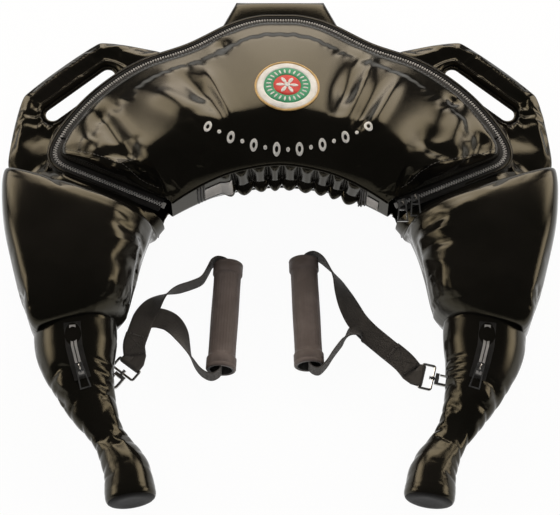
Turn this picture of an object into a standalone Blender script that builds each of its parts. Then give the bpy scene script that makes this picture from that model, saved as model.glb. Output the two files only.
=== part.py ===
# A bulgarian bag: a stuffed crescent of black vinyl, worn over the neck and swung by its two horns.
# It lies on its back: +Z up, horns towards -Y, origin on the floor under the middle of its box. Metres.
# Right-hand pieces are at +X. "Horn" is the tapered lower handle, "wing" the stuffed side chamber,
# "pouch" the zipped middle with its lid, and "flange" a flat sewn ear on the outer edge.
import math

import bmesh
import bpy
from mathutils import Matrix, Vector
from mathutils.bvhtree import BVHTree

# Sheet stock and clearances
VINYL = 0.0025
BACK_SHEET = 0.003
SEAT_GAP = 0.0003
FILL_GAP = 0.004
CUT_OVERRUN = 0.010

# Pouch and its zip, in plan
POUCH_HALF_WIDTH = 0.262
CORNER_Y = 0.077
CORNER_ROUND = 0.022
POUCH_RISE = 0.188
ARC_SHARES = ((0, 1), (0.10, 0.993), (0.22, 0.935), (0.40, 0.79), (0.62, 0.66), (0.80, 0.46), (0.93, 0.22), (1, 0))
ZIP_END_X = 0.129
ZIP_END_Y = 0.018
ZIP_END_TRIM = 0.008
NECK_RISE = 0.037
NECK_ARC_SHARES = ((0, 1), (0.34, 0.86), (0.56, 0.66), (0.78, 0.36), (1, 0))

# Pouch heights
ZIP_HEIGHT = 0.070
SEAM_RISE = 0.030
LID_CROWN = 0.056
LID_CROWN_SHARES = ((0, 0.16), (0.08, 0.50), (0.15, 0.70), (0.28, 0.92), (0.5, 1))
LID_FULLNESS = 2.6
FOLD_RISE = 0.029
FOLD_GAP = 0.0006

# Zip stock
TAPE_WIDTH = 0.0055
TAPE_THICK = 0.0010
TEETH_GAP = 0.0010
TEETH_WIDTH = 0.0028
TEETH_THICK = 0.0018
LID_FOOT_INSET = 0.0062

# Walls of the pouch
WALL_LIP = 0.0053
WALL_OUT = 0.0096
WALL_THICK = 0.0035
NECK_UNDERCUT = 0.026
NECK_KNEE_SHARE = 0.48

# Wings
HEM_X = 0.276
HEM_Y = -0.134
HEM_INNER_X = 0.1755
HEM_INNER_Y = -0.112
WING_EDGE_OUT = 0.049
WING_OUTER_SHARES = ((0, 0), (0.24, 0.14), (0.54, 0.31), (0.88, 0.52), (1.10, 0.75), (1.10, 0.88), (1, 1))
WING_INNER_SHARES = ((0, 0), (0.24, 0.16), (0.37, 0.42), (0.52, 0.66), (0.74, 0.86), (1, 1))
WING_HEIGHT = 0.118
WING_TOP_SHARES = ((0, 0.755), (0.25, 0.92), (0.48, 1), (0.76, 0.88))
WING_SEAM_SHARE = 0.32
WING_FULLNESS = 2.3
WING_FILL_START_SHARE = 0.2
WING_SHELF = 0.030
WING_SHOULDER_START_SHARE = 0.66
WING_SHOULDER_SHARES = (0.04, 0.25)
BASE_INSET = 0.014

# Side flanges with their slots, at shares of the pouch's half width and rise
FLANGE_TIP_SHARES = (1.149, 0.569)
FLANGE_SHOULDER_SHARES = (0.828, 0.968)
FLANGE_ROOT_SHARES = (0.527, 0.899)
SLOT_CENTRE_SHARES = (0.901, 0.585)
FLANGE_Z = 0.026
FLANGE_THICK = 0.008
SLOT_LENGTH = 0.108
SLOT_WIDTH = 0.026
SLOT_TURN = math.radians(-41)
BINDING_RADIUS = 0.0018

# Top flange
TOP_FLANGE_DEPTH = 0.0434
TOP_FLANGE_HALF = 0.053
TOP_FLANGE_ROOT_HALF = 0.088

# Horns: half sizes at places along the centre line, as shares of its length
HORN_TOP_X = 0.226
HORN_TOP_Y = -0.100
HORN_TIP_X = 0.159
HORN_TIP_Y = -0.3041
HORN_LINE_SHARES = ((0, 0), (0.05, 0.23), (0.18, 0.39), (0.36, 0.54), (0.66, 0.715), (0.92, 0.87), (1, 1))
HORN_HALF_WIDTH = 0.048
HORN_WIDTH_SHARES = ((0, 0.93), (0.20, 0.92), (0.37, 0.73), (0.51, 0.54), (0.68, 0.37), (0.86, 0.50), (1, 0.57))
HORN_HEIGHT = 0.084
HORN_HEIGHT_SHARES = ((0, 0.98), (0.20, 0.93), (0.37, 0.78), (0.51, 0.62), (0.68, 0.48), (0.86, 0.57), (1, 0.62))
HORN_LIFT = 0.008
HORN_LIFT_SHARES = ((0, 0.35), (0.22, 0.40), (0.51, 0.90), (0.68, 1), (0.86, 0.10), (1, 0))
HORN_CAP = 0.010
HORN_CORE_INSET_SHARE = 0.03
HORN_TURN_SHARE = 0.02

# Neck side: gathered casing and its elastic
GATHER_WAVE = 0.0030
GATHER_WAVES = 13
ELASTIC_WIDTH = 0.014
ELASTIC_THICK = 0.0012
ELASTIC_Z = 0.052
ELASTIC_SPAN_SHARE = 0.80

# Sliders and pulls
SLIDER_LENGTH = 0.0095
SLIDER_WIDTH = 0.0086
SLIDER_PLATE = 0.0012
SLIDER_ROOM = 0.0004
SLIDER_POST = 0.0005
BAIL_WIRE = 0.0014
BAIL_HEIGHT = 0.0038
PULL_LENGTH = 0.024
PULL_WIDTH = 0.0125
PULL_NECK = 0.0086
PULL_WIRE = 0.0016
PULL_THICK = 0.0014
INNER_SLIDER_SETBACK = 0.0088
OUTER_SLIDER_SETBACK = 0.0248
PULL_DROP = math.radians(5)
STOP_LENGTH = 0.0035

# Horn zips
HORN_ZIP_PLACE_SHARE = 0.13
HORN_ZIP_LENGTH = 0.060
HORN_SLIDER_SETBACK = 0.013
HORN_TAPE_WIDTH = 0.0055

# Snap hook and its swivel eye
HOOK_BAR = 0.0028
HOOK_LENGTH = 0.020
HOOK_WIDTH = 0.0135
HOOK_Z = 0.0056
HOOK_BASE = 0.0045
HOOK_POST_RADIUS = 0.0012
HOOK_POST_LENGTH = 0.0052
HOOK_POST_HEAD = 0.0021
HOOK_HEAD_LENGTH = 0.0012
GATE_BAR = 0.0018
GATE_LENGTH = 0.0085
PIN_ROOM = 0.0003
EYE_WIRE = 0.0015
EYE_WIDTH = 0.0316
EYE_LENGTH = 0.017
EYE_BOSS = 0.0046
EYE_BOSS_LENGTH = 0.0040
SNAP_TURN = {"left": math.radians(52), "right": math.radians(14)}
SNAP_IN = {"left": 0.0415, "right": 0.0415}
SNAP_Y = {"left": -0.1700, "right": -0.1675}

# Webbing and the tab on the horn
WEB_WIDTH = 0.0245
WEB_THICK = 0.0017
WEB_LAYER_GAP = 0.0005
TAB_WIDTH = 0.0050
TAB_THICK = 0.0010
TAB_LIFT = 0.0006

# The strap's route in plan, from the eye: the doubled run, then both branches out to the grip's ends
DOUBLED_ROUTE = {
    "left": ((-0.1630, -0.1240), (-0.1590, -0.1080), (-0.1545, -0.0930)),
    "right": ((0.1370, -0.1440), (0.1190, -0.1275), (0.1020, -0.1120)),
}
UPPER_ROUTE = {
    "left": ((-0.1470, -0.0810), (-0.1380, -0.0720), (-0.1270, -0.0650), (-0.1140, -0.0600), (-0.1000, -0.0550),
             (-0.0885, -0.0490), (-0.0822, -0.0380), (-0.0770, -0.0275), (-0.0690, -0.0240)),
    "right": ((0.0880, -0.0960), (0.0790, -0.0800), (0.0715, -0.0630), (0.0650, -0.0470), (0.0560, -0.0330),
              (0.0460, -0.0215), (0.0360, -0.0178)),
}
LOWER_ROUTE = {
    "left": ((-0.1460, -0.0900), (-0.1350, -0.0905), (-0.1235, -0.0960), (-0.1145, -0.1077), (-0.1077, -0.1234),
             (-0.0999, -0.1413), (-0.0896, -0.1580), (-0.0800, -0.1655), (-0.0720, -0.1655)),
    "right": ((0.0900, -0.1070), (0.0790, -0.1140), (0.0694, -0.1250), (0.0592, -0.1390), (0.0510, -0.1520),
              (0.0420, -0.1600)),
}
UPPER_TILT_SHARES = {"left": (0.02, 0.45), "right": (0.15, 0.85)}
LOWER_TILT_SHARES = {"left": (0.15, 0.75), "right": (0.02, 0.45)}

# Rubber grips
GRIP_LENGTH = 0.130
GRIP_RADIUS = 0.0154
GRIP_WAIST = 0.0150
GRIP_COLLAR = 0.0168
GRIP_COLLAR_LENGTH = 0.015
GRIP_TUBE_OUTER = 0.0138
GRIP_TUBE_WALL = 0.0010
GRIP_CENTRE = {"left": (-0.062, -0.094), "right": (0.0295, -0.089)}
GRIP_TURN = {"left": math.radians(-3), "right": math.radians(2.5)}

# Mesh density
ARC_STEPS = 19
ROUNDING_STEPS = 5
NECK_STEPS = 30
LID_COLUMNS = 33
LID_ROWS = 9
SECTION_STEPS = 11
WING_STEPS = 8
HORN_STEPS = 12
HORN_SIDES = 12
GATHER_STEPS_PER_WAVE = 4
BRANCH_STEPS = 19
DOUBLED_STEPS = 10
ROUND_SIDES = 16
PIN_SIDES = 12
WIRE_SIDES = 6

# Colours of the stock: base colour, roughness, metallic
STOCK = {
    "vinyl": ((0.012, 0.011, 0.010), 0.28, 0.0),
    "lining": ((0.03, 0.03, 0.03), 0.7, 0.0),
    "filling": ((0.42, 0.37, 0.28), 0.95, 0.0),
    "zip_tape": ((0.015, 0.015, 0.015), 0.8, 0.0),
    "zip_metal": ((0.10, 0.10, 0.10), 0.35, 1.0),
    "steel": ((0.62, 0.62, 0.60), 0.22, 1.0),
    "webbing": ((0.035, 0.032, 0.028), 0.75, 0.0),
    "elastic": ((0.30, 0.29, 0.28), 0.85, 0.0),
    "grip_rubber": ((0.055, 0.045, 0.043), 0.62, 0.0),
    "grip_tube": ((0.09, 0.09, 0.09), 0.5, 0.0),
}


def clear_scene():
    for old in list(bpy.data.objects):
        bpy.data.objects.remove(old, do_unlink=True)


def make_materials():
    made = {}
    for name, (colour, roughness, metallic) in STOCK.items():
        material = bpy.data.materials.new(name)
        material.use_nodes = True
        shader = material.node_tree.nodes["Principled BSDF"]
        shader.inputs["Base Color"].default_value = (*colour, 1)
        shader.inputs["Roughness"].default_value = roughness
        shader.inputs["Metallic"].default_value = metallic
        made[name] = material
    return made


# Curves and interpolation

def spline_at(points, place):
    """A smooth curve through the points; place runs from 0 to the last point's number."""
    last = len(points) - 1
    k = min(int(place), last - 1)
    f = place - k
    p1, p2 = points[k], points[k + 1]
    p0 = points[k - 1] if k > 0 else p1 * 2 - p2
    p3 = points[k + 2] if k + 2 <= last else p2 * 2 - p1
    return 0.5 * (2 * p1 + (p2 - p0) * f + (2 * p0 - 5 * p1 + 4 * p2 - p3) * f * f
                  + (3 * p1 - p0 - 3 * p2 + p3) * f ** 3)


def evenly(points, count, fine=12):
    """The smooth curve through the points, resampled at count even steps of its length."""
    last = len(points) - 1
    dense = [spline_at(points, last * i / (last * fine)) for i in range(last * fine + 1)]
    return resample(dense, count)


def resample(points, count):
    lengths = [0.0]
    for a, b in zip(points, points[1:]):
        lengths.append(lengths[-1] + (b - a).length)
    made = []
    k = 0
    for i in range(count):
        want = lengths[-1] * i / (count - 1)
        while k < len(points) - 2 and lengths[k + 1] < want:
            k += 1
        step = lengths[k + 1] - lengths[k]
        f = (want - lengths[k]) / step if step else 0
        made.append(points[k].lerp(points[k + 1], min(max(f, 0), 1)))
    return made


def share_at(table, place):
    """A value read from a table of (place, share), on a smooth curve through its rows."""
    rows = [Vector((a, b, 0)) for a, b in table]
    for k in range(len(rows) - 1):
        if place <= rows[k + 1].x or k == len(rows) - 2:
            f = (place - rows[k].x) / (rows[k + 1].x - rows[k].x)
            return spline_at(rows, k + min(max(f, 0), 1)).y


def offset(points, distance):
    """A plan curve moved sideways, to the right of its direction when distance is positive."""
    made = []
    for i, p in enumerate(points):
        ahead = points[min(i + 1, len(points) - 1)] - points[max(i - 1, 0)]
        side = Vector((ahead.y, -ahead.x, 0)).normalized()
        made.append(p + side * distance)
    return made


def mirrored(p):
    return Vector((-p.x, p.y, p.z))


# Solids

def finish(name, mesh_build, material):
    bmesh.ops.remove_doubles(mesh_build, verts=mesh_build.verts, dist=SEAT_GAP / 30)
    bmesh.ops.dissolve_degenerate(mesh_build, edges=mesh_build.edges, dist=SEAT_GAP / 30)
    bmesh.ops.recalc_face_normals(mesh_build, faces=mesh_build.faces)
    if mesh_build.calc_volume(signed=True) < 0:
        bmesh.ops.reverse_faces(mesh_build, faces=mesh_build.faces)
    mesh = bpy.data.meshes.new(name)
    mesh_build.to_mesh(mesh)
    mesh_build.free()
    mesh.shade_smooth()
    mesh.set_sharp_from_angle(angle=math.radians(38))
    mesh.materials.append(material)
    made = bpy.data.objects.new(name, mesh)
    bpy.context.scene.collection.objects.link(made)
    return made


def grid_solid(name, upper, lower, material):
    """One closed solid between two grids of points of the same size."""
    build = bmesh.new()
    rows, columns = len(upper), len(upper[0])
    top = [[build.verts.new(p) for p in row] for row in upper]
    low = [[build.verts.new(p) for p in row] for row in lower]
    for i in range(rows - 1):
        for j in range(columns - 1):
            build.faces.new((top[i][j], top[i][j + 1], top[i + 1][j + 1], top[i + 1][j]))
            build.faces.new((low[i][j], low[i + 1][j], low[i + 1][j + 1], low[i][j + 1]))
    rim = [(i, 0) for i in range(rows)] + [(rows - 1, j) for j in range(1, columns)]
    rim += [(i, columns - 1) for i in range(rows - 2, -1, -1)] + [(0, j) for j in range(columns - 2, 0, -1)]
    for a, b in zip(rim, rim[1:] + rim[:1]):
        build.faces.new((top[a[0]][a[1]], top[b[0]][b[1]], low[b[0]][b[1]], low[a[0]][a[1]]))
    return finish(name, build, material)


def ring_solid(name, rings, material, closed=False):
    """A solid lofted through rings of points; an open one gets a fan of faces at each end."""
    build = bmesh.new()
    verts = [[build.verts.new(p) for p in ring] for ring in rings]
    pairs = list(zip(verts, verts[1:]))
    if closed:
        pairs.append((verts[-1], verts[0]))
    for first, second in pairs:
        for k in range(len(first)):
            n = (k + 1) % len(first)
            build.faces.new((first[k], first[n], second[n], second[k]))
    if not closed:
        for ring, points in ((verts[0], rings[0]), (verts[-1], rings[-1])):
            middle = build.verts.new(sum(points, Vector((0, 0, 0))) / len(points))
            for k in range(len(ring)):
                build.faces.new((ring[k], ring[(k + 1) % len(ring)], middle))
    return finish(name, build, material)


def pipe_solid(name, outer_rings, inner_rings, material):
    """A hollow tube, open at both ends, from matching outer and inner rings."""
    return ring_solid(name, outer_rings + inner_rings[::-1], material, closed=True)


def frames(path, closed=False):
    """(point, direction, side, up) along a path, with side kept level."""
    made = []
    count = len(path)
    for i, p in enumerate(path):
        if closed:
            ahead = path[(i + 1) % count] - path[i - 1]
        else:
            ahead = path[min(i + 1, count - 1)] - path[max(i - 1, 0)]
        ahead = ahead.normalized()
        side = Vector((ahead.y, -ahead.x, 0))
        side = side.normalized() if side.length > 1e-6 else Vector((1, 0, 0))
        made.append((p, ahead, side, side.cross(ahead).normalized()))
    return made


def round_ring(centre, across, up, radius, sides):
    return [centre + (across * math.cos(a) + up * math.sin(a)) * radius
            for a in (2 * math.pi * (k + 0.5) / sides for k in range(sides))]


def wire_solid(name, path, radius, material, closed=False, sides=WIRE_SIDES):
    rings = [round_ring(p, side, up, radius, sides) for p, _, side, up in frames(path, closed)]
    return ring_solid(name, rings, material, closed)


def flat_ring(centre, across, through, width, thick):
    a, b = across * (width / 2), through * (thick / 2)
    return [centre + a + b, centre - a + b, centre - a - b, centre + a - b]


def prism(name, outline, low, high, material):
    """A plan outline, extruded from one height to another."""
    rings = [[Vector((p.x, p.y, z)) for p in outline] for z in (low, high)]
    return ring_solid(name, rings, material)


def cylinder(name, start, end, radius, material, sides=ROUND_SIDES):
    along = (end - start).normalized()
    across = Vector((0, 0, 1)).cross(along)
    across = across.normalized() if across.length > 1e-6 else Vector((1, 0, 0))
    up = along.cross(across)
    return ring_solid(name, [round_ring(p, across, up, radius, sides) for p in (start, end)], material)


def combine(target, others, operation):
    """Applies a Boolean with each of the others in turn, then removes them."""
    for other in others:
        modifier = target.modifiers.new("cut", "BOOLEAN")
        modifier.operation = operation
        modifier.solver = "EXACT"
        modifier.object = other
        bpy.context.view_layer.update()
        graph = bpy.context.evaluated_depsgraph_get()
        mesh = bpy.data.meshes.new_from_object(target.evaluated_get(graph))
        target.modifiers.clear()
        target.data = mesh
        bpy.data.objects.remove(other, do_unlink=True)
    return target


def trim(target, point, normal):
    """Cuts away the side of a plane that its normal points to, and closes the cut."""
    build = bmesh.new()
    build.from_mesh(target.data)
    geometry = build.verts[:] + build.edges[:] + build.faces[:]
    cut = bmesh.ops.bisect_plane(build, geom=geometry, plane_co=point, plane_no=normal, clear_outer=True)
    edges = [g for g in cut["geom_cut"] if isinstance(g, bmesh.types.BMEdge)]
    bmesh.ops.triangle_fill(build, edges=edges, use_beauty=True, use_dissolve=False)
    bmesh.ops.recalc_face_normals(build, faces=build.faces)
    build.to_mesh(target.data)
    build.free()


def lengths_of(points):
    made = [0.0]
    for a, b in zip(points, points[1:]):
        made.append(made[-1] + (b - a).length)
    return made


def portion(points, start, end, count):
    """Even steps of a path between two distances along it."""
    lengths = lengths_of(points)
    made = []
    for i in range(count):
        want = start + (end - start) * i / (count - 1)
        k = 0
        while k < len(points) - 2 and lengths[k + 1] < want:
            k += 1
        made.append(points[k].lerp(points[k + 1], (want - lengths[k]) / (lengths[k + 1] - lengths[k])))
    return made


def between(points, start, end):
    """A path's own points between two distances along it, with both ends added."""
    lengths = lengths_of(points)
    ends = portion(points, start, end, 2)
    kept = [p for p, reached in zip(points, lengths) if start + SEAT_GAP < reached < end - SEAT_GAP]
    return [ends[0]] + kept + [ends[1]]


# Plan lines

def zip_line():
    """The zip's centre line from the left inner end, round the outer arc, to the right inner end."""
    corner = Vector((POUCH_HALF_WIDTH, CORNER_Y, 0))
    end = Vector((ZIP_END_X, ZIP_END_Y, 0))
    rows = [Vector((POUCH_HALF_WIDTH * a, CORNER_Y + POUCH_RISE * b, 0)) for a, b in ARC_SHARES]
    arc = evenly(rows, ARC_STEPS + 1)
    half = [p for p in arc[1:] if (p - corner).length > CORNER_ROUND]
    start, stop = half[-1], corner + (end - corner).normalized() * CORNER_ROUND
    for k in range(1, ROUNDING_STEPS + 1):
        f = k / ROUNDING_STEPS
        half.append(start * (1 - f) ** 2 + corner * 2 * f * (1 - f) + stop * f * f)
    half.append(end)
    left = [mirrored(p) for p in reversed(half)]
    return left + [Vector((0, CORNER_Y + POUCH_RISE, 0))] + half


def neck_line():
    """The neck seam in plan, from left to right."""
    half = [Vector((ZIP_END_X * a, ZIP_END_Y + NECK_RISE * b, 0)) for a, b in NECK_ARC_SHARES]
    return evenly([mirrored(p) for p in reversed(half)] + half[1:], NECK_STEPS + 1)


ZIP_LINE = zip_line()
ZIP_TOTAL = lengths_of(ZIP_LINE)[-1]
NECK_LINE = neck_line()
NECK_TOTAL = lengths_of(NECK_LINE)[-1]
STRAIGHT = Vector((POUCH_HALF_WIDTH - ZIP_END_X, CORNER_Y - ZIP_END_Y, 0))
ALONG_STRAIGHT = STRAIGHT.normalized()
OUT_OF_STRAIGHT = Vector((ALONG_STRAIGHT.y, -ALONG_STRAIGHT.x, 0))
FOLD_Y = CORNER_Y + FOLD_RISE
TAPE_INNER = TEETH_GAP / 2 + TEETH_WIDTH + SEAT_GAP
TAPE_OUTER = TAPE_INNER + TAPE_WIDTH
ZIP_SEAT = ZIP_HEIGHT - TAPE_THICK / 2 - SEAT_GAP
LID_STEP = TEETH_THICK + SEAT_GAP
LID_FOOT = ZIP_HEIGHT + LID_STEP + TAPE_THICK / 2 + SEAT_GAP


def seam_height(u):
    return ZIP_HEIGHT + SEAM_RISE * 4 * u * (1 - u)


def pouch_plan(edge_inset, neck_inset, columns, end_trim=ZIP_END_TRIM):
    """The neck side and the zip side of a crescent inside the pouch, as two matching rows of points."""
    neck = portion(NECK_LINE, end_trim, NECK_TOTAL - end_trim, columns)
    edge = portion(ZIP_LINE, end_trim, ZIP_TOTAL - end_trim, columns)
    return offset(neck, -neck_inset), offset(edge, edge_inset)


def dome(edge_inset, neck_inset, drop, columns, rows, foot, end_trim=ZIP_END_TRIM):
    """A grid of points on the lid's outer face, lowered by drop, its edges at foot and on the neck seam."""
    neck, edge = pouch_plan(edge_inset, neck_inset, columns, end_trim)
    made = []
    for i in range(rows):
        v = 0.5 - 0.5 * math.cos(math.pi * i / (rows - 1))
        row = []
        for j in range(columns):
            u = j / (columns - 1)
            p = neck[j].lerp(edge[j], v)
            low = (seam_height(u) + SEAT_GAP) * (1 - v) + foot * v
            swell = (1 - abs(2 * v - 1) ** LID_FULLNESS) ** (1 / LID_FULLNESS + 0.2)
            p.z = low + LID_CROWN * share_at(LID_CROWN_SHARES, min(u, 1 - u)) * swell - drop
            row.append(p)
        made.append(row)
    return made


def sunk(grid, distance):
    """A grid moved along its own normals, to the side below it, without sinking its rim."""
    rows, columns = len(grid), len(grid[0])
    made = []
    for i in range(rows):
        row = []
        for j in range(columns):
            along = grid[i][min(j + 1, columns - 1)] - grid[i][max(j - 1, 0)]
            across = grid[min(i + 1, rows - 1)][j] - grid[max(i - 1, 0)][j]
            p = grid[i][j] - along.cross(across).normalized() * distance
            if i in (0, rows - 1):
                p.z = grid[i][j].z
            row.append(p)
        made.append(row)
    return made


# Pouch

def sweep(name, path, section, material):
    """A plan path with a section of (offset to the right, height) points."""
    lines = [offset(path, s) for s, _ in section]
    rings = [[Vector((line[k].x, line[k].y, z)) for line, (_, z) in zip(lines, section)]
             for k in range(len(path))]
    return ring_solid(name, rings, material)


def strip(name, path, near, far, low, high, material):
    return sweep(name, path, [(near, low), (far, low), (far, high), (near, high)], material)


def trim_at_wings(target, clearance):
    """Cuts a piece of the pouch off where the wings begin, on both sides."""
    for side in (1, -1):
        point = Vector((side * ZIP_END_X, ZIP_END_Y, 0))
        out = Vector((side * OUT_OF_STRAIGHT.x, OUT_OF_STRAIGHT.y, 0))
        trim(target, point + out * (WALL_LIP - clearance), out)


def fold_distance():
    """How far along the zip line the lid's fold crosses it."""
    lengths = lengths_of(ZIP_LINE)
    for k, (a, b) in enumerate(zip(ZIP_LINE, ZIP_LINE[1:])):
        if a.y <= FOLD_Y < b.y:
            return lengths[k] + (b - a).length * (FOLD_Y - a.y) / (b.y - a.y)
    return ZIP_TOTAL / 4


def lid_height():
    """The lid's top at the fold, where its hinge axis lies."""
    grid = dome(LID_FOOT_INSET, SEAT_GAP, 0, LID_COLUMNS, 4 * LID_ROWS, LID_FOOT)
    middle = [row[LID_COLUMNS // 2] for row in grid]
    for a, b in zip(middle, middle[1:]):
        if a.y <= FOLD_Y < b.y:
            return a.z + (b.z - a.z) * (FOLD_Y - a.y) / (b.y - a.y)
    return LID_FOOT + LID_CROWN


def put_origin(target, place):
    """Moves an object's origin to a place without moving the piece."""
    target.data.transform(Matrix.Translation(-place))
    target.location = place


def make_pouch(stock):
    neck, edge = pouch_plan(-WALL_OUT, NECK_UNDERCUT - VINYL, LID_COLUMNS)
    flat = [[Vector((p.x, p.y, BACK_SHEET)) for p in row] for row in (neck, edge)]
    floor = [[Vector((p.x, p.y, 0)) for p in row] for row in (neck, edge)]
    back = grid_solid("back_panel", flat, floor, stock["vinyl"])
    trim_at_wings(back, SEAT_GAP)

    fold = fold_distance()
    foot = BACK_SHEET + SEAT_GAP
    lip = ZIP_SEAT - WALL_THICK / 2
    wall_path = between(ZIP_LINE, fold / 2, ZIP_TOTAL - fold / 2)
    inner = -(WALL_OUT - WALL_THICK)
    wall = sweep("outer_wall", wall_path,
                 [(-WALL_OUT, foot), (inner, foot), (inner, lip), (-WALL_LIP, lip), (-WALL_LIP, ZIP_SEAT),
                  (-WALL_OUT, ZIP_SEAT)], stock["vinyl"])
    trim_at_wings(wall, SEAT_GAP)

    whole = dome(LID_FOOT_INSET, SEAT_GAP, 0, LID_COLUMNS, LID_ROWS, LID_FOOT)
    hinge = Vector((0, FOLD_Y, lid_height()))
    for name, side in (("pouch_lid", -1), ("lid_yoke", 1)):
        lid = grid_solid(name, whole, sunk(whole, VINYL), stock["vinyl"])
        trim(lid, Vector((0, FOLD_Y - side * FOLD_GAP / 2, 0)), Vector((0, side, 0)))
        if side < 0:
            put_origin(lid, hinge)

    edge_gap = TAPE_OUTER + FILL_GAP
    neck_gap = NECK_UNDERCUT + VINYL + FILL_GAP
    top = dome(edge_gap, neck_gap, VINYL + FILL_GAP + LID_STEP, LID_COLUMNS // 2 + 1, LID_ROWS, ZIP_SEAT,
               2 * neck_gap)
    low = [[Vector((p.x, p.y, BACK_SHEET + SEAT_GAP)) for p in row] for row in top]
    grid_solid("pouch_filling", top, low, stock["filling"])


def make_neck(stock):
    """The gathered vinyl wall round the neck, and the elastic that gathers it."""
    count = GATHER_WAVES * GATHER_STEPS_PER_WAVE + 1
    path = portion(NECK_LINE, ZIP_END_TRIM, NECK_TOTAL - ZIP_END_TRIM, count)
    rings = []
    sides = [offset(path, -s) for s in (0, VINYL, NECK_UNDERCUT, NECK_UNDERCUT + VINYL)]
    for k in range(count):
        u = k / (count - 1)
        place = (k % GATHER_STEPS_PER_WAVE) / GATHER_STEPS_PER_WAVE
        wave = GATHER_WAVE * (0.5 - 0.5 * math.cos(2 * math.pi * place)) * math.sin(math.pi * u)
        inward = (sides[1][k] - sides[0][k]).normalized() * wave
        top = seam_height(u) - SEAT_GAP
        knee = top * NECK_KNEE_SHARE
        foot = BACK_SHEET + SEAT_GAP
        outer = [(sides[0][k], top), (sides[0][k] + inward, (top + knee) / 2), (sides[0][k] + inward, knee),
                 (sides[2][k], foot)]
        inner = [(sides[3][k], foot), (sides[1][k] + inward, knee + VINYL),
                 (sides[1][k] + inward, (top + knee) / 2), (sides[1][k], top)]
        rings.append([Vector((p.x, p.y, z)) for p, z in outer + inner])
    ring_solid("neck_gather", rings, stock["vinyl"])
    reach = NECK_TOTAL * ELASTIC_SPAN_SHARE / 2
    band = portion(NECK_LINE, NECK_TOTAL / 2 - reach, NECK_TOTAL / 2 + reach, NECK_STEPS)
    near = VINYL + GATHER_WAVE + SEAT_GAP
    strip("neck_elastic", band, -near, -near - ELASTIC_THICK, ELASTIC_Z, ELASTIC_Z + ELASTIC_WIDTH, stock["elastic"])


def make_zip(stock):
    """Tapes and teeth: the outer ones whole, the inner ones in three, where the lid moves and where it doesn't."""
    low, high = ZIP_HEIGHT - TAPE_THICK / 2, ZIP_HEIGHT + TAPE_THICK / 2
    teeth_low, teeth_high = ZIP_HEIGHT - TEETH_THICK / 2, ZIP_HEIGHT + TEETH_THICK / 2
    near = TEETH_GAP / 2
    fold = fold_distance()
    end = STOP_LENGTH + SEAT_GAP
    whole = between(ZIP_LINE, end, ZIP_TOTAL - end)
    strip("zip_tape_outer", whole, -TAPE_OUTER, -TAPE_INNER, low, high, stock["zip_tape"])
    strip("zip_teeth_outer", whole, -near - TEETH_WIDTH, -near, teeth_low, teeth_high, stock["zip_metal"])
    half_gap = FOLD_GAP / 2
    parts = (("left", end, fold - half_gap, 0), ("lid", fold + half_gap, ZIP_TOTAL - fold - half_gap, LID_STEP),
             ("right", ZIP_TOTAL - fold + half_gap, ZIP_TOTAL - end, 0))
    hinge = Vector((0, FOLD_Y, lid_height()))
    for name, start, stop, rise in parts:
        path = between(ZIP_LINE, start, stop)
        tape = strip("zip_tape_" + name, path, TAPE_INNER, TAPE_OUTER, low + rise, high + rise, stock["zip_tape"])
        teeth = strip("zip_teeth_" + name, path, near, near + TEETH_WIDTH, teeth_low + rise, teeth_high + rise,
                      stock["zip_metal"])
        if name == "lid":
            put_origin(tape, hinge)
            put_origin(teeth, hinge)
    for name, start in (("left", 0), ("right", ZIP_TOTAL - STOP_LENGTH)):
        path = portion(ZIP_LINE, start, start + STOP_LENGTH, 2)
        reach = near + TEETH_WIDTH
        strip("zip_stop_" + name, path, -reach, reach, teeth_low, teeth_high, stock["zip_metal"])


# Wings

def wing_ends(place):
    """The outer and the inner end of a wing's section, right side, from hem (0) to zip (1)."""
    edge = Vector((ZIP_END_X, ZIP_END_Y, 0)) + OUT_OF_STRAIGHT * WALL_LIP
    far = edge + ALONG_STRAIGHT * ((POUCH_HALF_WIDTH + WING_EDGE_OUT - edge.x) / ALONG_STRAIGHT.x)
    outer = [Vector((HEM_X + (far.x - HEM_X) * a, HEM_Y + (far.y - HEM_Y) * b, 0)) for a, b in WING_OUTER_SHARES]
    inner = [Vector((HEM_INNER_X + (edge.x - HEM_INNER_X) * a, HEM_INNER_Y + (edge.y - HEM_INNER_Y) * b, 0))
             for a, b in WING_INNER_SHARES]
    return spline_at(outer, place * (len(outer) - 1)), spline_at(inner, place * (len(inner) - 1))


def wing_height(place):
    """Crest height: stuffed over most of the wing, then down to a shelf beside the zip."""
    shelf = 1 - WING_SHELF / (STRAIGHT.length + WING_SHELF)
    level = ZIP_SEAT / WING_HEIGHT
    table = WING_TOP_SHARES + ((shelf, level), (1, level))
    return WING_HEIGHT * max(share_at(table, place), level)


def smooth_step(low, high, value):
    f = min(max((value - low) / (high - low), 0), 1)
    return f * f * (3 - 2 * f)


def wing_fall(place, t, seam, top):
    """How far the wing's outer shoulder comes down towards the flange, as a share of its height over the seam."""
    start, stop = WING_SHOULDER_SHARES
    most = 1 - (FLANGE_Z + FLANGE_THICK - seam) / (top - seam)
    return most * smooth_step(WING_SHOULDER_START_SHARE, 1, place) * (1 - smooth_step(start, stop, t))


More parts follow.
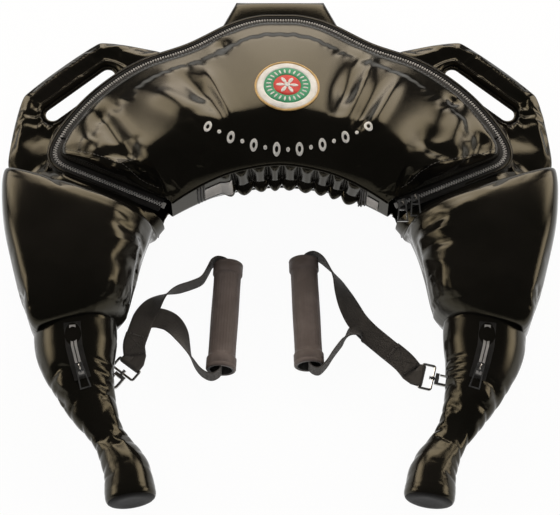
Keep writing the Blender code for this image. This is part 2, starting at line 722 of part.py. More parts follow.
def wing_section(place, inset, floor):
    """A closed section of the wing, drawn in from its outside by inset, its base at floor."""
    outer, inner = wing_ends(place)
    across = (inner - outer).normalized()
    outer, inner = outer + across * inset, inner - across * inset
    width = (inner - outer).length
    top = wing_height(place) - inset
    seam = wing_height(place) * WING_SEAM_SHARE
    base = BASE_INSET / width
    ring = []
    for k in range(SECTION_STEPS + 1):
        a = math.pi * k / SECTION_STEPS
        c, s = math.cos(a), math.sin(a)
        t = 0.5 - 0.5 * math.copysign(abs(c) ** (2 / WING_FULLNESS), c)
        kept = 1 - wing_fall(place, t, seam, top)
        ring.append((t, seam + (top - seam) * kept * abs(s) ** (2 / WING_FULLNESS)))
    ring += [(1 - base, floor), (0.5, floor), (base, floor)]
    return [Vector((*(outer.lerp(inner, t)).xy, z)) for t, z in ring]


def wing_places(start, end):
    return [start + (end - start) * i / (WING_STEPS - 1) for i in range(WING_STEPS)]


def make_wing(side, stock):
    flip = mirrored if side == "left" else Vector
    places = wing_places(0, 1 - WING_SHELF / (STRAIGHT.length + WING_SHELF)) + [1]
    outer = [[flip(p) for p in wing_section(place, 0, 0)] for place in places]
    inner = [[flip(p) for p in wing_section(place, VINYL, VINYL)] for place in places]
    pipe_solid("wing_" + side, outer, inner, stock["vinyl"])
    stuffed = [place for place in places if place > WING_FILL_START_SHARE]
    stuffed[-1] = 1 - FILL_GAP / STRAIGHT.length
    fill = [[flip(p) for p in wing_section(place, VINYL + FILL_GAP, VINYL + SEAT_GAP)] for place in stuffed]
    ring_solid("wing_filling_" + side, fill, stock["filling"])


# Flanges

def on_pouch(shares):
    """A plan point at shares of the pouch's half width and rise."""
    return Vector((POUCH_HALF_WIDTH * shares[0], CORNER_Y + POUCH_RISE * shares[1], 0))


def slot_ring(length, width):
    """The outline of the slot in plan, right side, with round ends."""
    along = Vector((math.cos(SLOT_TURN), math.sin(SLOT_TURN), 0))
    across = Vector((-along.y, along.x, 0))
    centre = on_pouch(SLOT_CENTRE_SHARES)
    radius = width / 2
    made = []
    for end in (1, -1):
        for k in range(ROUND_SIDES // 2 + 1):
            a = -math.pi / 2 + math.pi * k / (ROUND_SIDES // 2)
            middle = centre + along * end * (length / 2 - radius)
            made.append(middle + (along * math.cos(a) + across * math.sin(a)) * radius * end)
    return made


def make_side_flange(side, stock):
    flip = mirrored if side == "left" else Vector
    fold = fold_distance()
    root_line = offset(between(ZIP_LINE, fold / 2, ZIP_TOTAL - fold / 2), -WALL_OUT - SEAT_GAP)
    start = on_pouch(FLANGE_ROOT_SHARES)
    root = [p for p in root_line if p.x > start.x]
    count = len(root)
    outer_end, _ = wing_ends(1)
    corners = [start, on_pouch(FLANGE_SHOULDER_SHARES), on_pouch(FLANGE_TIP_SHARES),
               outer_end - OUT_OF_STRAIGHT * 2 * SEAT_GAP]
    edge = resample(corners, count)
    upper = [[flip(Vector((p.x, p.y, FLANGE_Z + FLANGE_THICK))) for p in row] for row in (root, edge)]
    lower = [[flip(Vector((p.x, p.y, FLANGE_Z))) for p in row] for row in (root, edge)]
    flange = grid_solid("slot_flange_" + side, upper, lower, stock["vinyl"])
    trim_at_wings(flange, SEAT_GAP)
    outline = [flip(p) for p in slot_ring(SLOT_LENGTH, SLOT_WIDTH)]
    cutter = prism("slot_cutter", outline, FLANGE_Z - CUT_OVERRUN, FLANGE_Z + FLANGE_THICK + CUT_OVERRUN,
                   stock["vinyl"])
    combine(flange, [cutter], "DIFFERENCE")
    inset = 2 * (BINDING_RADIUS + SEAT_GAP)
    middle = FLANGE_Z + FLANGE_THICK / 2
    path = [flip(Vector((p.x, p.y, middle))) for p in slot_ring(SLOT_LENGTH - inset, SLOT_WIDTH - inset)]
    path = [p for k, p in enumerate(path) if (p - path[k - 1]).length > SEAT_GAP]
    wire_solid("slot_binding_" + side, path, BINDING_RADIUS, stock["vinyl"], closed=True)


def make_top_flange(stock):
    root_line = offset(ZIP_LINE, -WALL_OUT - SEAT_GAP)
    half = TOP_FLANGE_ROOT_HALF
    root = []
    for a, b in zip(root_line, root_line[1:]):
        root += [a.lerp(b, (x - a.x) / (b.x - a.x)) for x in (-half, half) if a.x < x <= b.x]
        if abs(b.x) < half and b.y > CORNER_Y:
            root.append(b)
    root.sort(key=lambda p: p.x)
    count = len(root)
    top = CORNER_Y + POUCH_RISE + WALL_OUT + TOP_FLANGE_DEPTH
    edge = [Vector((TOP_FLANGE_HALF * (2 * k / (count - 1) - 1), top, 0)) for k in range(count)]
    upper = [[Vector((p.x, p.y, FLANGE_Z + FLANGE_THICK)) for p in row] for row in (root, edge)]
    lower = [[Vector((p.x, p.y, FLANGE_Z)) for p in row] for row in (root, edge)]
    grid_solid("top_flange", upper, lower, stock["vinyl"])


# Horns

def horn_line():
    tip = Vector((HORN_TIP_X, HORN_TIP_Y, 0))
    top = Vector((HORN_TOP_X, HORN_TOP_Y, 0))
    points = [Vector((top.x + (tip.x - top.x) * a, top.y + (tip.y - top.y) * b, 0)) for a, b in HORN_LINE_SHARES]
    return evenly(points, 8 * HORN_STEPS)


HORN_LINE = horn_line()
HORN_TOTAL = lengths_of(HORN_LINE)[-1]


def horn_frame(place):
    """Middle, direction and side of the horn at a place along it, right side."""
    last = len(HORN_LINE) - 1
    p = spline_at(HORN_LINE, place * last)
    near, far = max(place - HORN_TURN_SHARE, 0), min(place + HORN_TURN_SHARE, 1)
    ahead = (spline_at(HORN_LINE, far * last) - spline_at(HORN_LINE, near * last)).normalized()
    return p, ahead, Vector((-ahead.y, ahead.x, 0))


def horn_section(place, inset, floor_lift=0):
    p, _, side = horn_frame(place)
    half = HORN_HALF_WIDTH * share_at(HORN_WIDTH_SHARES, place) - inset
    low = HORN_LIFT * share_at(HORN_LIFT_SHARES, place) + inset + floor_lift
    top = HORN_HEIGHT * share_at(HORN_HEIGHT_SHARES, place) - inset
    made = []
    for k in range(HORN_SIDES):
        a = 2 * math.pi * (k + 0.5) / HORN_SIDES
        made.append(p + side * half * math.cos(a) + Vector((0, 0, (low + top) / 2 + (top - low) / 2 * math.sin(a))))
    return made


def horn_crest(place):
    ring = horn_section(place, 0)
    quarter = HORN_SIDES // 4
    return (ring[quarter - 1] + ring[quarter]) / 2


def horn_places():
    start = HORN_ZIP_PLACE_SHARE
    end = start + HORN_ZIP_LENGTH / HORN_TOTAL
    even = [k / HORN_STEPS for k in range(HORN_STEPS + 1)]
    kept = [p for p in even if min(abs(p - start), abs(p - end)) > 0.5 / HORN_STEPS]
    return sorted(kept + [start, end]), start, end


def make_horn(side, stock):
    flip = mirrored if side == "left" else Vector
    places, start, end = horn_places()
    rings = [[flip(p) for p in horn_section(place, 0)] for place in places]
    hollow = [[flip(p) for p in horn_section(place, VINYL)] for place in places]
    shell = pipe_solid("horn_" + side, rings, hollow, stock["vinyl"])
    core_places = [HORN_CORE_INSET_SHARE] + places[1:-1] + [1 - HORN_CORE_INSET_SHARE]
    core = [[flip(p) for p in horn_section(place, VINYL + FILL_GAP, SEAT_GAP - FILL_GAP)] for place in core_places]
    ring_solid("horn_core_" + side, core, stock["filling"])

    p, ahead, _ = horn_frame(1)
    caps = []
    for reach, shrink in ((SEAT_GAP, 0), (HORN_CAP / 2, 0), (HORN_CAP, HORN_CAP / 3)):
        shift = ahead * reach
        caps.append([flip(q + shift) for q in horn_section(1, shrink)])
    ring_solid("horn_cap_" + side, caps, stock["vinyl"])

    inside = [q for q in places if start <= q <= end]
    crest = [horn_crest(q) + Vector((0, 0, SEAT_GAP + TAPE_THICK / 2)) for q in inside]
    path = [flip(q) for q in crest]
    slot_half = SLIDER_WIDTH / 2 + SLIDER_ROOM
    depth = Vector((0, 0, VINYL + FILL_GAP / 2))
    rings = []
    for q, _, across, _ in frames(path):
        rings.append([q + across * slot_half + depth, q - across * slot_half + depth,
                      q - across * slot_half - depth, q + across * slot_half - depth])
    combine(shell, [ring_solid("horn_zip_cutter", rings, stock["vinyl"])], "DIFFERENCE")
    make_zip_ladder("horn_zip_tape_" + side, path, TAPE_INNER, TAPE_INNER + HORN_TAPE_WIDTH, TAPE_THICK,
                    stock["zip_tape"])
    near = TEETH_GAP / 2
    end = TEETH_WIDTH + 2 * SEAT_GAP
    rows = between(path, end, lengths_of(path)[-1] - end)
    make_zip_ladder("horn_zip_teeth_" + side, rows, near, near + TEETH_WIDTH, TEETH_THICK, stock["zip_metal"])
    return path


def make_zip_ladder(name, path, inner, outer, thick, material):
    """Both rows of a short zip and the bar across each end, as one flat ring."""
    made = frames(path)
    half = Vector((0, 0, thick / 2))
    (first, first_ahead, first_across, _), (last, last_ahead, last_across, _) = made[0], made[-1]
    bar = TEETH_WIDTH
    pairs = []
    for sign, row in ((1, made), (-1, made[::-1])):
        middle = [(q + across * sign * inner, q + across * sign * outer) for q, _, across, _ in row[1:-1]]
        start = (first + first_ahead * bar + first_across * sign * inner, first + first_across * sign * outer)
        end = (last - last_ahead * bar + last_across * sign * inner, last + last_across * sign * outer)
        pairs += [start] + middle + [end] if sign > 0 else [end] + middle + [start]
    rings = [[a - half, b - half, b + half, a + half] for a, b in pairs]
    return ring_solid(name, rings, material, closed=True)


# Sliders and pulls

def make_slider(name, centre, along, up, bail_along, stock):
    """A slider round a closed zip: two plates, the post between the rows, and the bail on top."""
    across = up.cross(along).normalized()

    def block(low, high, half_along, half_across):
        rings = []
        for z in (low, high):
            q = centre + up * z
            a, b = along * half_along, across * half_across
            rings.append([q + a + b, q - a + b, q - a - b, q + a - b])
        return ring_solid("slider_block", rings, stock["steel"])

    inner = TEETH_THICK / 2 + SLIDER_ROOM
    outer = inner + SLIDER_PLATE
    body = block(inner, outer, SLIDER_LENGTH / 2, SLIDER_WIDTH / 2)
    body.name = name
    middle = outer - SLIDER_PLATE / 2
    pieces = [block(-outer, -inner, SLIDER_LENGTH / 2, SLIDER_WIDTH / 2),
              block(-middle, middle, SLIDER_LENGTH / 4, SLIDER_POST / 2)]
    foot = outer - BAIL_WIRE / 4
    top = outer + BAIL_HEIGHT - BAIL_WIRE / 2
    reach = SLIDER_WIDTH / 2 - BAIL_WIRE
    stops = [(-reach, foot), (-reach, top - BAIL_WIRE), (BAIL_WIRE - reach, top), (reach - BAIL_WIRE, top),
             (reach, top - BAIL_WIRE), (reach, foot)]
    path = [centre + bail_along * a + up * z for a, z in stops]
    level = up.cross(bail_along)
    rings = []
    for i, p in enumerate(path):
        ahead = (path[min(i + 1, len(path) - 1)] - path[max(i - 1, 0)]).normalized()
        rings.append(round_ring(p, level, ahead.cross(level).normalized(), BAIL_WIRE / 2, WIRE_SIDES))
    pieces.append(ring_solid("bail", rings, stock["steel"]))
    return combine(body, pieces, "UNION")


def pull_pivot(centre, up):
    """The middle of the space under the bail."""
    plate = TEETH_THICK / 2 + SLIDER_ROOM + SLIDER_PLATE
    return centre + up * (plate + (BAIL_HEIGHT - BAIL_WIRE) / 2)


def make_pull(name, pivot, bar, away, stock):
    """A tapered frame hung on the bail: its narrow end bar runs along bar, and the rest hangs to away."""
    neck, wide = PULL_NECK / 2, PULL_WIDTH / 2
    start = -PULL_WIRE / 2
    slope = (wide - neck) / (PULL_LENGTH - start)
    face = bar.cross(away)

    def plate(low, high, inset, thick):
        outline = []
        for y, sign in ((low, -1), (low, 1), (high, 1), (high, -1)):
            outline.append((sign * (neck + slope * (y - start) - inset), y))
        rings = [[pivot + bar * x + away * y + face * z for x, y in outline] for z in (-thick / 2, thick / 2)]
        return ring_solid("pull_plate", rings, stock["steel"])

    body = plate(start, PULL_LENGTH, 0, PULL_THICK)
    body.name = name
    middle = PULL_NECK
    windows = [plate(PULL_WIRE / 2, middle, PULL_WIRE, 2 * PULL_THICK),
               plate(middle + PULL_WIRE, PULL_LENGTH - PULL_WIRE, PULL_WIRE, 2 * PULL_THICK)]
    combine(body, windows, "DIFFERENCE")
    put_origin(body, pivot)
    return body


def make_main_sliders(stock):
    up = Vector((0, 0, 1))
    for name, setback in (("inner", INNER_SLIDER_SETBACK), ("outer", OUTER_SLIDER_SETBACK)):
        centre = Vector((ZIP_END_X, ZIP_END_Y, ZIP_HEIGHT)) + ALONG_STRAIGHT * setback
        slider = make_slider("slider_" + name, centre, ALONG_STRAIGHT, up, OUT_OF_STRAIGHT, stock)
        put_origin(slider, centre)
        away = Vector((0, -math.cos(PULL_DROP), -math.sin(PULL_DROP)))
        make_pull("pull_" + name, pull_pivot(centre, up), Vector((1, 0, 0)), away, stock)


def make_horn_slider(side, path, stock):
    lengths = lengths_of(path)
    place = lengths[-1] - HORN_SLIDER_SETBACK
    centre = portion(path, place, place, 2)[0]
    ahead = (path[-1] - path[-2]).normalized()
    for a, b, reached in zip(path, path[1:], lengths[1:]):
        if place <= reached:
            ahead = (b - a).normalized()
            break
    across = Vector((ahead.y, -ahead.x, 0)).normalized()
    up = across.cross(ahead)
    slider = make_slider("horn_slider_" + side, centre, ahead, up, ahead, stock)
    put_origin(slider, centre)
    make_pull("horn_pull_" + side, pull_pivot(centre, up), across, ahead, stock)


# Snap hook, eye and tab

def snap_frame(side):
    """Origin of the hook's hoop, the way it points, and its side, for one strap."""
    sign = -1 if side == "left" else 1
    turn = SNAP_TURN[side]
    along = Vector((-sign * math.cos(turn), math.sin(turn), 0))
    origin = Vector((sign * (HORN_TOP_X - SNAP_IN[side]), SNAP_Y[side], HOOK_Z))
    return origin, along, Vector((0, 0, 1)).cross(along) * sign


def hoop_outline(origin, along, across, radius, end):
    """A half circle about the origin, closed by a straight end."""
    half = ROUND_SIDES // 2
    made = []
    for k in range(half + 1):
        a = math.pi / 2 + math.pi * k / half
        made.append(origin + (along * math.cos(a) + across * math.sin(a)) * radius)
    return made + [origin + along * end - across * radius, origin + along * end + across * radius]


HOOK_END = HOOK_LENGTH - HOOK_WIDTH / 2
EYE_START = HOOK_END + SEAT_GAP
EYE_BAR = EYE_START + EYE_LENGTH - EYE_WIRE


def make_snap(side, stock):
    origin, along, across = snap_frame(side)
    radius = HOOK_WIDTH / 2
    low, high = HOOK_Z - HOOK_BAR / 2, HOOK_Z + HOOK_BAR / 2
    steel = stock["steel"]
    hook = prism("snap_hook_" + side, hoop_outline(origin, along, across, radius, HOOK_END), low, high, steel)
    inside = radius - HOOK_BAR
    base = HOOK_END - HOOK_BASE
    below, above = low - CUT_OVERRUN, high + CUT_OVERRUN
    hole = prism("hook_hole", hoop_outline(origin, along, across, inside, base), below, above, steel)
    mouth_end = base + SEAT_GAP
    mouth_start = mouth_end - GATE_LENGTH
    outline = [origin + along * a - across * b for a, b in
               ((mouth_start, inside / 2), (mouth_end, inside / 2), (mouth_end, 2 * radius),
                (mouth_start, 2 * radius))]
    mouth = prism("hook_mouth", outline, below, above, steel)
    combine(hook, [hole, mouth], "DIFFERENCE")
    post_start = origin + along * (HOOK_END - HOOK_BASE / 2)
    head = origin + along * (HOOK_END + HOOK_POST_LENGTH)
    post_end = head + along * HOOK_HEAD_LENGTH
    post = cylinder("hook_post", post_start, (head + post_end) / 2, HOOK_POST_RADIUS, steel, PIN_SIDES)
    knob = cylinder("hook_head", head, post_end, HOOK_POST_HEAD, steel, PIN_SIDES)
    combine(hook, [post, knob], "UNION")
    put_origin(hook, origin)

    gate_side = origin - across * (radius - HOOK_BAR / 2)
    pivot = gate_side + along * (mouth_end - SEAT_GAP - GATE_BAR / 2)
    tip = gate_side + along * (mouth_start + SEAT_GAP)
    half = across * GATE_BAR / 2
    outline = [tip + half, tip - half]
    steps = WIRE_SIDES // 2
    for k in range(steps + 1):
        a = -math.pi / 2 + math.pi * k / steps
        outline.append(pivot + (along * math.cos(a) + across * math.sin(a)) * GATE_BAR / 2)
    gate = prism("snap_gate_" + side, outline, low, high, steel)
    put_origin(gate, pivot)

    start = origin + along * EYE_START
    boss = cylinder("swivel_eye_" + side, start, start + along * EYE_BOSS_LENGTH, EYE_BOSS / 2, steel)
    near, far = EYE_BOSS_LENGTH / 2, EYE_LENGTH - EYE_WIRE
    half = EYE_WIDTH / 2 - EYE_WIRE
    corner = EYE_WIRE
    plan = [(near, 0), (near, half - corner), (near + corner / 2, half - corner / 4), (near + corner, half),
            (far - corner, half), (far - corner / 4, half - corner / 4), (far, half - corner)]
    plan += [(a, -b) for a, b in reversed(plan[1:])]
    path = [start + along * a + across * b for a, b in plan]
    loop = wire_solid("eye_loop", path, EYE_WIRE, steel, closed=True)
    combine(boss, [loop], "UNION")
    bore = cylinder("eye_bore", start - along * CUT_OVERRUN / 2, start + along * CUT_OVERRUN,
                    HOOK_POST_RADIUS + PIN_ROOM, steel)
    combine(boss, [bore], "DIFFERENCE")
    put_origin(boss, start)


def make_tab(side, horn, stock):
    """A short loop of webbing under the horn, round the far end of the hook."""
    origin, along, across = snap_frame(side)
    mesh = horn.data
    tree = BVHTree.FromPolygons([v.co for v in mesh.vertices], [tuple(f.vertices) for f in mesh.polygons])
    radius = HOOK_WIDTH / 2
    inner = -math.sqrt((radius - HOOK_BAR) ** 2 - (TAB_WIDTH / 2) ** 2) + SEAT_GAP
    outer = -radius - SEAT_GAP
    low = TAB_LIFT

    def seat(near, far):
        """The horn's underside over one leg of the loop."""
        spots = [origin + along * a + across * b * TAB_WIDTH / 2 for a in (near, far) for b in (-1, 0, 1)]
        return min(tree.ray_cast(Vector((*p.xy, 0)), Vector((0, 0, 1)))[0].z for p in spots) - SEAT_GAP

    def ring(a, z):
        spots = [origin + along * a + across * b * TAB_WIDTH / 2 for b in (-1, 1)]
        return [Vector((*p.xy, z)) for p in spots]

    first, second = seat(inner, inner + TAB_THICK), seat(outer - TAB_THICK, outer)
    profile = [(inner + TAB_THICK, first), (inner + TAB_THICK, low), (outer - TAB_THICK, low),
               (outer - TAB_THICK, second), (outer, second), (outer, low + TAB_THICK), (inner, low + TAB_THICK),
               (inner, first)]
    sides = [ring(a, z) for a, z in profile]
    build = bmesh.new()
    verts = [[build.verts.new(p) for p in pair] for pair in sides]
    count = len(verts)
    for k in range(count):
        n = (k + 1) % count
        build.faces.new((verts[k][0], verts[n][0], verts[n][1], verts[k][1]))
    for b in (0, 1):
        for quad in ((0, 1, 6, 7), (1, 2, 5, 6), (2, 3, 4, 5)):
            build.faces.new([verts[k][b] for k in quad])
    finish("horn_tab_" + side, build, stock["webbing"])


# Webbing and grips

GRIP_Z = GRIP_COLLAR


def grip_axis(side):
    turn = GRIP_TURN[side]
    return Vector((*GRIP_CENTRE[side], GRIP_Z)), Vector((-math.sin(turn), math.cos(turn), 0))


def branch(side, route, tilt_shares, layer, end):
    """Points and width directions of one branch, from the end of the doubled run to inside the grip."""
    centre, axis = grip_axis(side)
    sign = -1 if side == "left" else 1
    mouth = centre + axis * end * GRIP_LENGTH / 2
    doubled = [Vector((x, y, 0)) for x, y in DOUBLED_ROUTE[side]]
    plan = doubled[-2:] + [Vector((x, y, 0)) for x, y in route] + [Vector((mouth.x, mouth.y, 0))]
    inside = mouth - axis * end * GRIP_COLLAR_LENGTH
    plan.append(Vector((inside.x, inside.y, 0)))
    last = len(plan) - 2
    fine = last * BRANCH_STEPS
    dense = [spline_at(plan, 1 + (last - 1) * k / fine) for k in range(fine + 1)]
    points = resample(dense, BRANCH_STEPS)
    start, stop = tilt_shares
    made = []
    for k, p in enumerate(points):
        ahead = points[min(k + 1, BRANCH_STEPS - 1)] - points[max(k - 1, 0)]
        ahead = (plan[2] - plan[0]) if k == 0 else ahead
        level = Vector((ahead.y, -ahead.x, 0)).normalized() * sign
        f = (k / (BRANCH_STEPS - 1) - start) / (stop - start)
        f = min(max(f, 0), 1)
        tilt = math.pi / 2 * f * f * (3 - 2 * f)
        rise = math.sin(tilt)
        z = (HOOK_Z + layer) * (1 - rise) + GRIP_Z * rise
        made.append((Vector((p.x, p.y, z)), level * math.cos(tilt) - Vector((0, 0, 1)) * rise))
    return made


def make_strap(side, stock):
    """One loop of webbing: round the eye's bar, doubled, then out and through the grip."""
    origin, along, across = snap_frame(side)
    sign = -1 if side == "left" else 1
    bar = origin + along * EYE_BAR
    layer = (WEB_THICK + WEB_LAYER_GAP) / 2
    wrap = EYE_WIRE + SEAT_GAP * 2 + WEB_THICK / 2
    doubled = [bar + along * 3 * wrap] + [Vector((x, y, HOOK_Z)) for x, y in DOUBLED_ROUTE[side]]
    run = [spline_at(doubled, (len(doubled) - 1) * k / DOUBLED_STEPS) for k in range(DOUBLED_STEPS)]
    upper, lower = [], []
    for k, p in enumerate(run):
        ahead = (run[min(k + 1, DOUBLED_STEPS - 1)] - run[k - 1]) if k else along
        level = Vector((ahead.y, -ahead.x, 0)).normalized() * sign
        upper.append((p + Vector((0, 0, layer)), level))
        lower.append((p - Vector((0, 0, layer)), level))
    level = Vector((along.y, -along.x, 0)).normalized() * sign
    loop = []
    for k in range(WIRE_SIDES + 1):
        a = math.pi * k / WIRE_SIDES
        loop.append((bar + (-along * math.sin(a) - Vector((0, 0, 1)) * math.cos(a)) * wrap, level))
    top = branch(side, UPPER_ROUTE[side], UPPER_TILT_SHARES[side], layer, 1)
    low = branch(side, LOWER_ROUTE[side], LOWER_TILT_SHARES[side], -layer, -1)
    whole = loop + upper + top + low[::-1] + lower[::-1]
    rings = []
    count = len(whole)
    for k, (p, width) in enumerate(whole):
        ahead = (whole[(k + 1) % count][0] - whole[k - 1][0]).normalized()
        rings.append(flat_ring(p, width, ahead.cross(width).normalized(), WEB_WIDTH, WEB_THICK))
    strap = ring_solid("strap_web_" + side, rings, stock["webbing"], closed=True)
    put_origin(strap, bar)


def make_grip(side, stock):
    centre, axis = grip_axis(side)
    across = Vector((axis.y, -axis.x, 0))
    up = Vector((0, 0, 1))
    half = GRIP_LENGTH / 2
    bore = GRIP_TUBE_OUTER + SEAT_GAP
    collar = GRIP_COLLAR_LENGTH
    ease = GRIP_COLLAR - GRIP_RADIUS
    profile = [(-half, GRIP_COLLAR - ease), (-half + ease, GRIP_COLLAR), (-half + collar, GRIP_COLLAR),
               (-half + collar + ease, GRIP_RADIUS), (0, GRIP_WAIST), (half - collar - ease, GRIP_RADIUS),
               (half - collar, GRIP_COLLAR), (half - ease, GRIP_COLLAR), (half, GRIP_COLLAR - ease)]
    rings = [round_ring(centre + axis * a, across, up, r, ROUND_SIDES) for a, r in profile]
    inner = [round_ring(centre + axis * a, across, up, bore, ROUND_SIDES) for a in (-half, half)]
    sleeve = ring_solid("grip_sleeve_" + side, rings + inner[::-1], stock["grip_rubber"], closed=True)
    put_origin(sleeve, centre)
    ends = (-half + SEAT_GAP, half - SEAT_GAP)
    outer = [round_ring(centre + axis * a, across, up, GRIP_TUBE_OUTER, ROUND_SIDES) for a in ends]
    inner = [round_ring(centre + axis * a, across, up, GRIP_TUBE_OUTER - GRIP_TUBE_WALL, ROUND_SIDES) for a in ends]
    tube = pipe_solid("grip_tube_" + side, outer, inner, stock["grip_tube"])
    put_origin(tube, centre)


def main():
    clear_scene()
    stock = make_materials()
    make_pouch(stock)
    make_neck(stock)
    make_zip(stock)
    make_main_sliders(stock)
    make_top_flange(stock)
    for side in ("left", "right"):
        make_wing(side, stock)
        make_side_flange(side, stock)
        path = make_horn(side, stock)
        make_horn_slider(side, path, stock)
        make_snap(side, stock)
        make_tab(side, bpy.data.objects["horn_" + side], stock)
        make_strap(side, stock)
        make_grip(side, stock)


main()
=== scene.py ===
import math

import bmesh
import bpy
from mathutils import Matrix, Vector, noise
from mathutils.bvhtree import BVHTree


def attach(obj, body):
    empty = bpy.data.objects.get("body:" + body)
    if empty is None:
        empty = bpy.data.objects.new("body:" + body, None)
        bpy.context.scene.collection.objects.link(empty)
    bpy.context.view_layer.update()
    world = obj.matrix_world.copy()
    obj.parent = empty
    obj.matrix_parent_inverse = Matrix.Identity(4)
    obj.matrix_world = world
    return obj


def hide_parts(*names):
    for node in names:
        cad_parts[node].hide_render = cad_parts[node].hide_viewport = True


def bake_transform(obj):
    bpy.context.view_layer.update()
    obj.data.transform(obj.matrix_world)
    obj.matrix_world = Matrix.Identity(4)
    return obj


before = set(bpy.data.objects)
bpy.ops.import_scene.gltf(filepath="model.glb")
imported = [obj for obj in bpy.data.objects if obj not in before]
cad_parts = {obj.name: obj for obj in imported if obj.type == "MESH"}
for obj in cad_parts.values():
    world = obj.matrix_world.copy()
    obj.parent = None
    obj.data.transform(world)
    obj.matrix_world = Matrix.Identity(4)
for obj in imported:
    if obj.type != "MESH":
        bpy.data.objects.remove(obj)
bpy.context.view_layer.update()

up = Vector((0, 0, 1))
sides = ("left", "right")

# Lines of the sewn parts, as the pattern pieces are cut
pouch = {
    "halfWidth": 0.262, "cornerY": 0.077, "cornerRound": 0.022, "rise": 0.188,
    "arc": ((0, 1), (0.10, 0.993), (0.22, 0.935), (0.40, 0.79), (0.62, 0.66), (0.80, 0.46), (0.93, 0.22), (1, 0)),
    "zipEnd": (0.129, 0.018), "endTrim": 0.008, "neckRise": 0.037,
    "neckArc": ((0, 1), (0.34, 0.86), (0.56, 0.66), (0.78, 0.36), (1, 0)),
    "zipHeight": 0.070, "seamRise": 0.030, "foldY": 0.106, "wallOut": 0.0096, "wallLip": 0.0053, "neckUndercut": 0.026,
}


def splineAt(points, place):
    last = len(points) - 1
    k = min(int(place), last - 1)
    f = place - k
    b, c = points[k], points[k + 1]
    a = points[k - 1] if k > 0 else b * 2 - c
    d = points[k + 2] if k + 2 <= last else c * 2 - b
    return 0.5 * (2 * b + (c - a) * f + (2 * a - 5 * b + 4 * c - d) * f * f + (3 * b - a - 3 * c + d) * f ** 3)


def lengthsOf(points):
    made = [0.0]
    for a, b in zip(points, points[1:]):
        made.append(made[-1] + (b - a).length)
    return made


def portion(points, start, end, count):
    lengths = lengthsOf(points)
    made = []
    k = 0
    for i in range(count):
        want = start + (end - start) * i / (count - 1)
        while k < len(points) - 2 and lengths[k + 1] < want:
            k += 1
        step = lengths[k + 1] - lengths[k]
        made.append(points[k].lerp(points[k + 1], (want - lengths[k]) / step if step else 0))
    return made


def smoothLine(points, count, fine=16):
    last = len(points) - 1
    dense = [splineAt(points, last * i / (last * fine)) for i in range(last * fine + 1)]
    return portion(dense, 0, lengthsOf(dense)[-1], count)


def shareAt(table, place):
    rows = [Vector((a, b, 0)) for a, b in table]
    for k in range(len(rows) - 1):
        if place <= rows[k + 1].x or k == len(rows) - 2:
            f = (place - rows[k].x) / (rows[k + 1].x - rows[k].x)
            return splineAt(rows, k + min(max(f, 0), 1)).y


def offsetLine(points, distance):
    made = []
    for i, p in enumerate(points):
        ahead = points[min(i + 1, len(points) - 1)] - points[max(i - 1, 0)]
        made.append(p + Vector((ahead.y, -ahead.x, 0)).normalized() * distance)
    return made


def mirrored(p):
    return Vector((-p.x, p.y, p.z))


def flipFor(side):
    return mirrored if side == "left" else Vector


def smoothStep(low, high, x):
    f = min(max((x - low) / (high - low), 0.0), 1.0)
    return f * f * (3 - 2 * f)


def makeZipLine(steps=90):
    half, rise, corner = pouch["halfWidth"], pouch["rise"], Vector((pouch["halfWidth"], pouch["cornerY"], 0))
    end = Vector((*pouch["zipEnd"], 0))
    arc = smoothLine([Vector((half * a, pouch["cornerY"] + rise * b, 0)) for a, b in pouch["arc"]], steps)
    made = [p for p in arc[1:] if (p - corner).length > pouch["cornerRound"]]
    start, stop = made[-1], corner + (end - corner).normalized() * pouch["cornerRound"]
    for k in range(1, 11):
        f = k / 10
        made.append(start * (1 - f) ** 2 + corner * 2 * f * (1 - f) + stop * f * f)
    made += [stop.lerp(end, k / 24) for k in range(1, 25)]
    return [mirrored(p) for p in reversed(made)] + [Vector((0, pouch["cornerY"] + rise, 0))] + made


def makeNeckLine():
    x, y = pouch["zipEnd"]
    half = [Vector((x * a, y + pouch["neckRise"] * b, 0)) for a, b in pouch["neckArc"]]
    return smoothLine([mirrored(p) for p in reversed(half)] + half[1:], 121)


zipLine = makeZipLine()
zipTotal = lengthsOf(zipLine)[-1]
neckLine = makeNeckLine()
neckTotal = lengthsOf(neckLine)[-1]
straight = Vector((pouch["halfWidth"] - pouch["zipEnd"][0], pouch["cornerY"] - pouch["zipEnd"][1], 0))
alongStraight = straight.normalized()
outOfStraight = Vector((alongStraight.y, -alongStraight.x, 0))
zipSeat = pouch["zipHeight"] - 0.0008


def distanceAtY(y):
    lengths = lengthsOf(zipLine)
    for k, (a, b) in enumerate(zip(zipLine, zipLine[1:])):
        if a.y <= y < b.y:
            return lengths[k] + (b - a).length * (y - a.y) / (b.y - a.y)


foldAt = distanceAtY(pouch["foldY"])
print("pattern lines ready")


# Meshes

def fillMesh(mesh, verts, faces):
    mesh.clear_geometry()
    mesh.from_pydata([tuple(v) for v in verts], [], faces)
    mesh.update()
    mesh.shade_smooth()


def meshPiece(name, verts, faces):
    mesh = bpy.data.meshes.new(name)
    fillMesh(mesh, verts, faces)
    piece = bpy.data.objects.new(name, mesh)
    bpy.context.scene.collection.objects.link(piece)
    return piece


def gridPiece(name, grid, wrapRows=False, wrapColumns=False):
    rows, columns = len(grid), len(grid[0])
    faces = []
    for i in range(rows if wrapRows else rows - 1):
        for j in range(columns if wrapColumns else columns - 1):
            n, m = (i + 1) % rows, (j + 1) % columns
            faces.append((i * columns + j, i * columns + m, n * columns + m, n * columns + j))
    return meshPiece(name, [p for row in grid for p in row], faces)


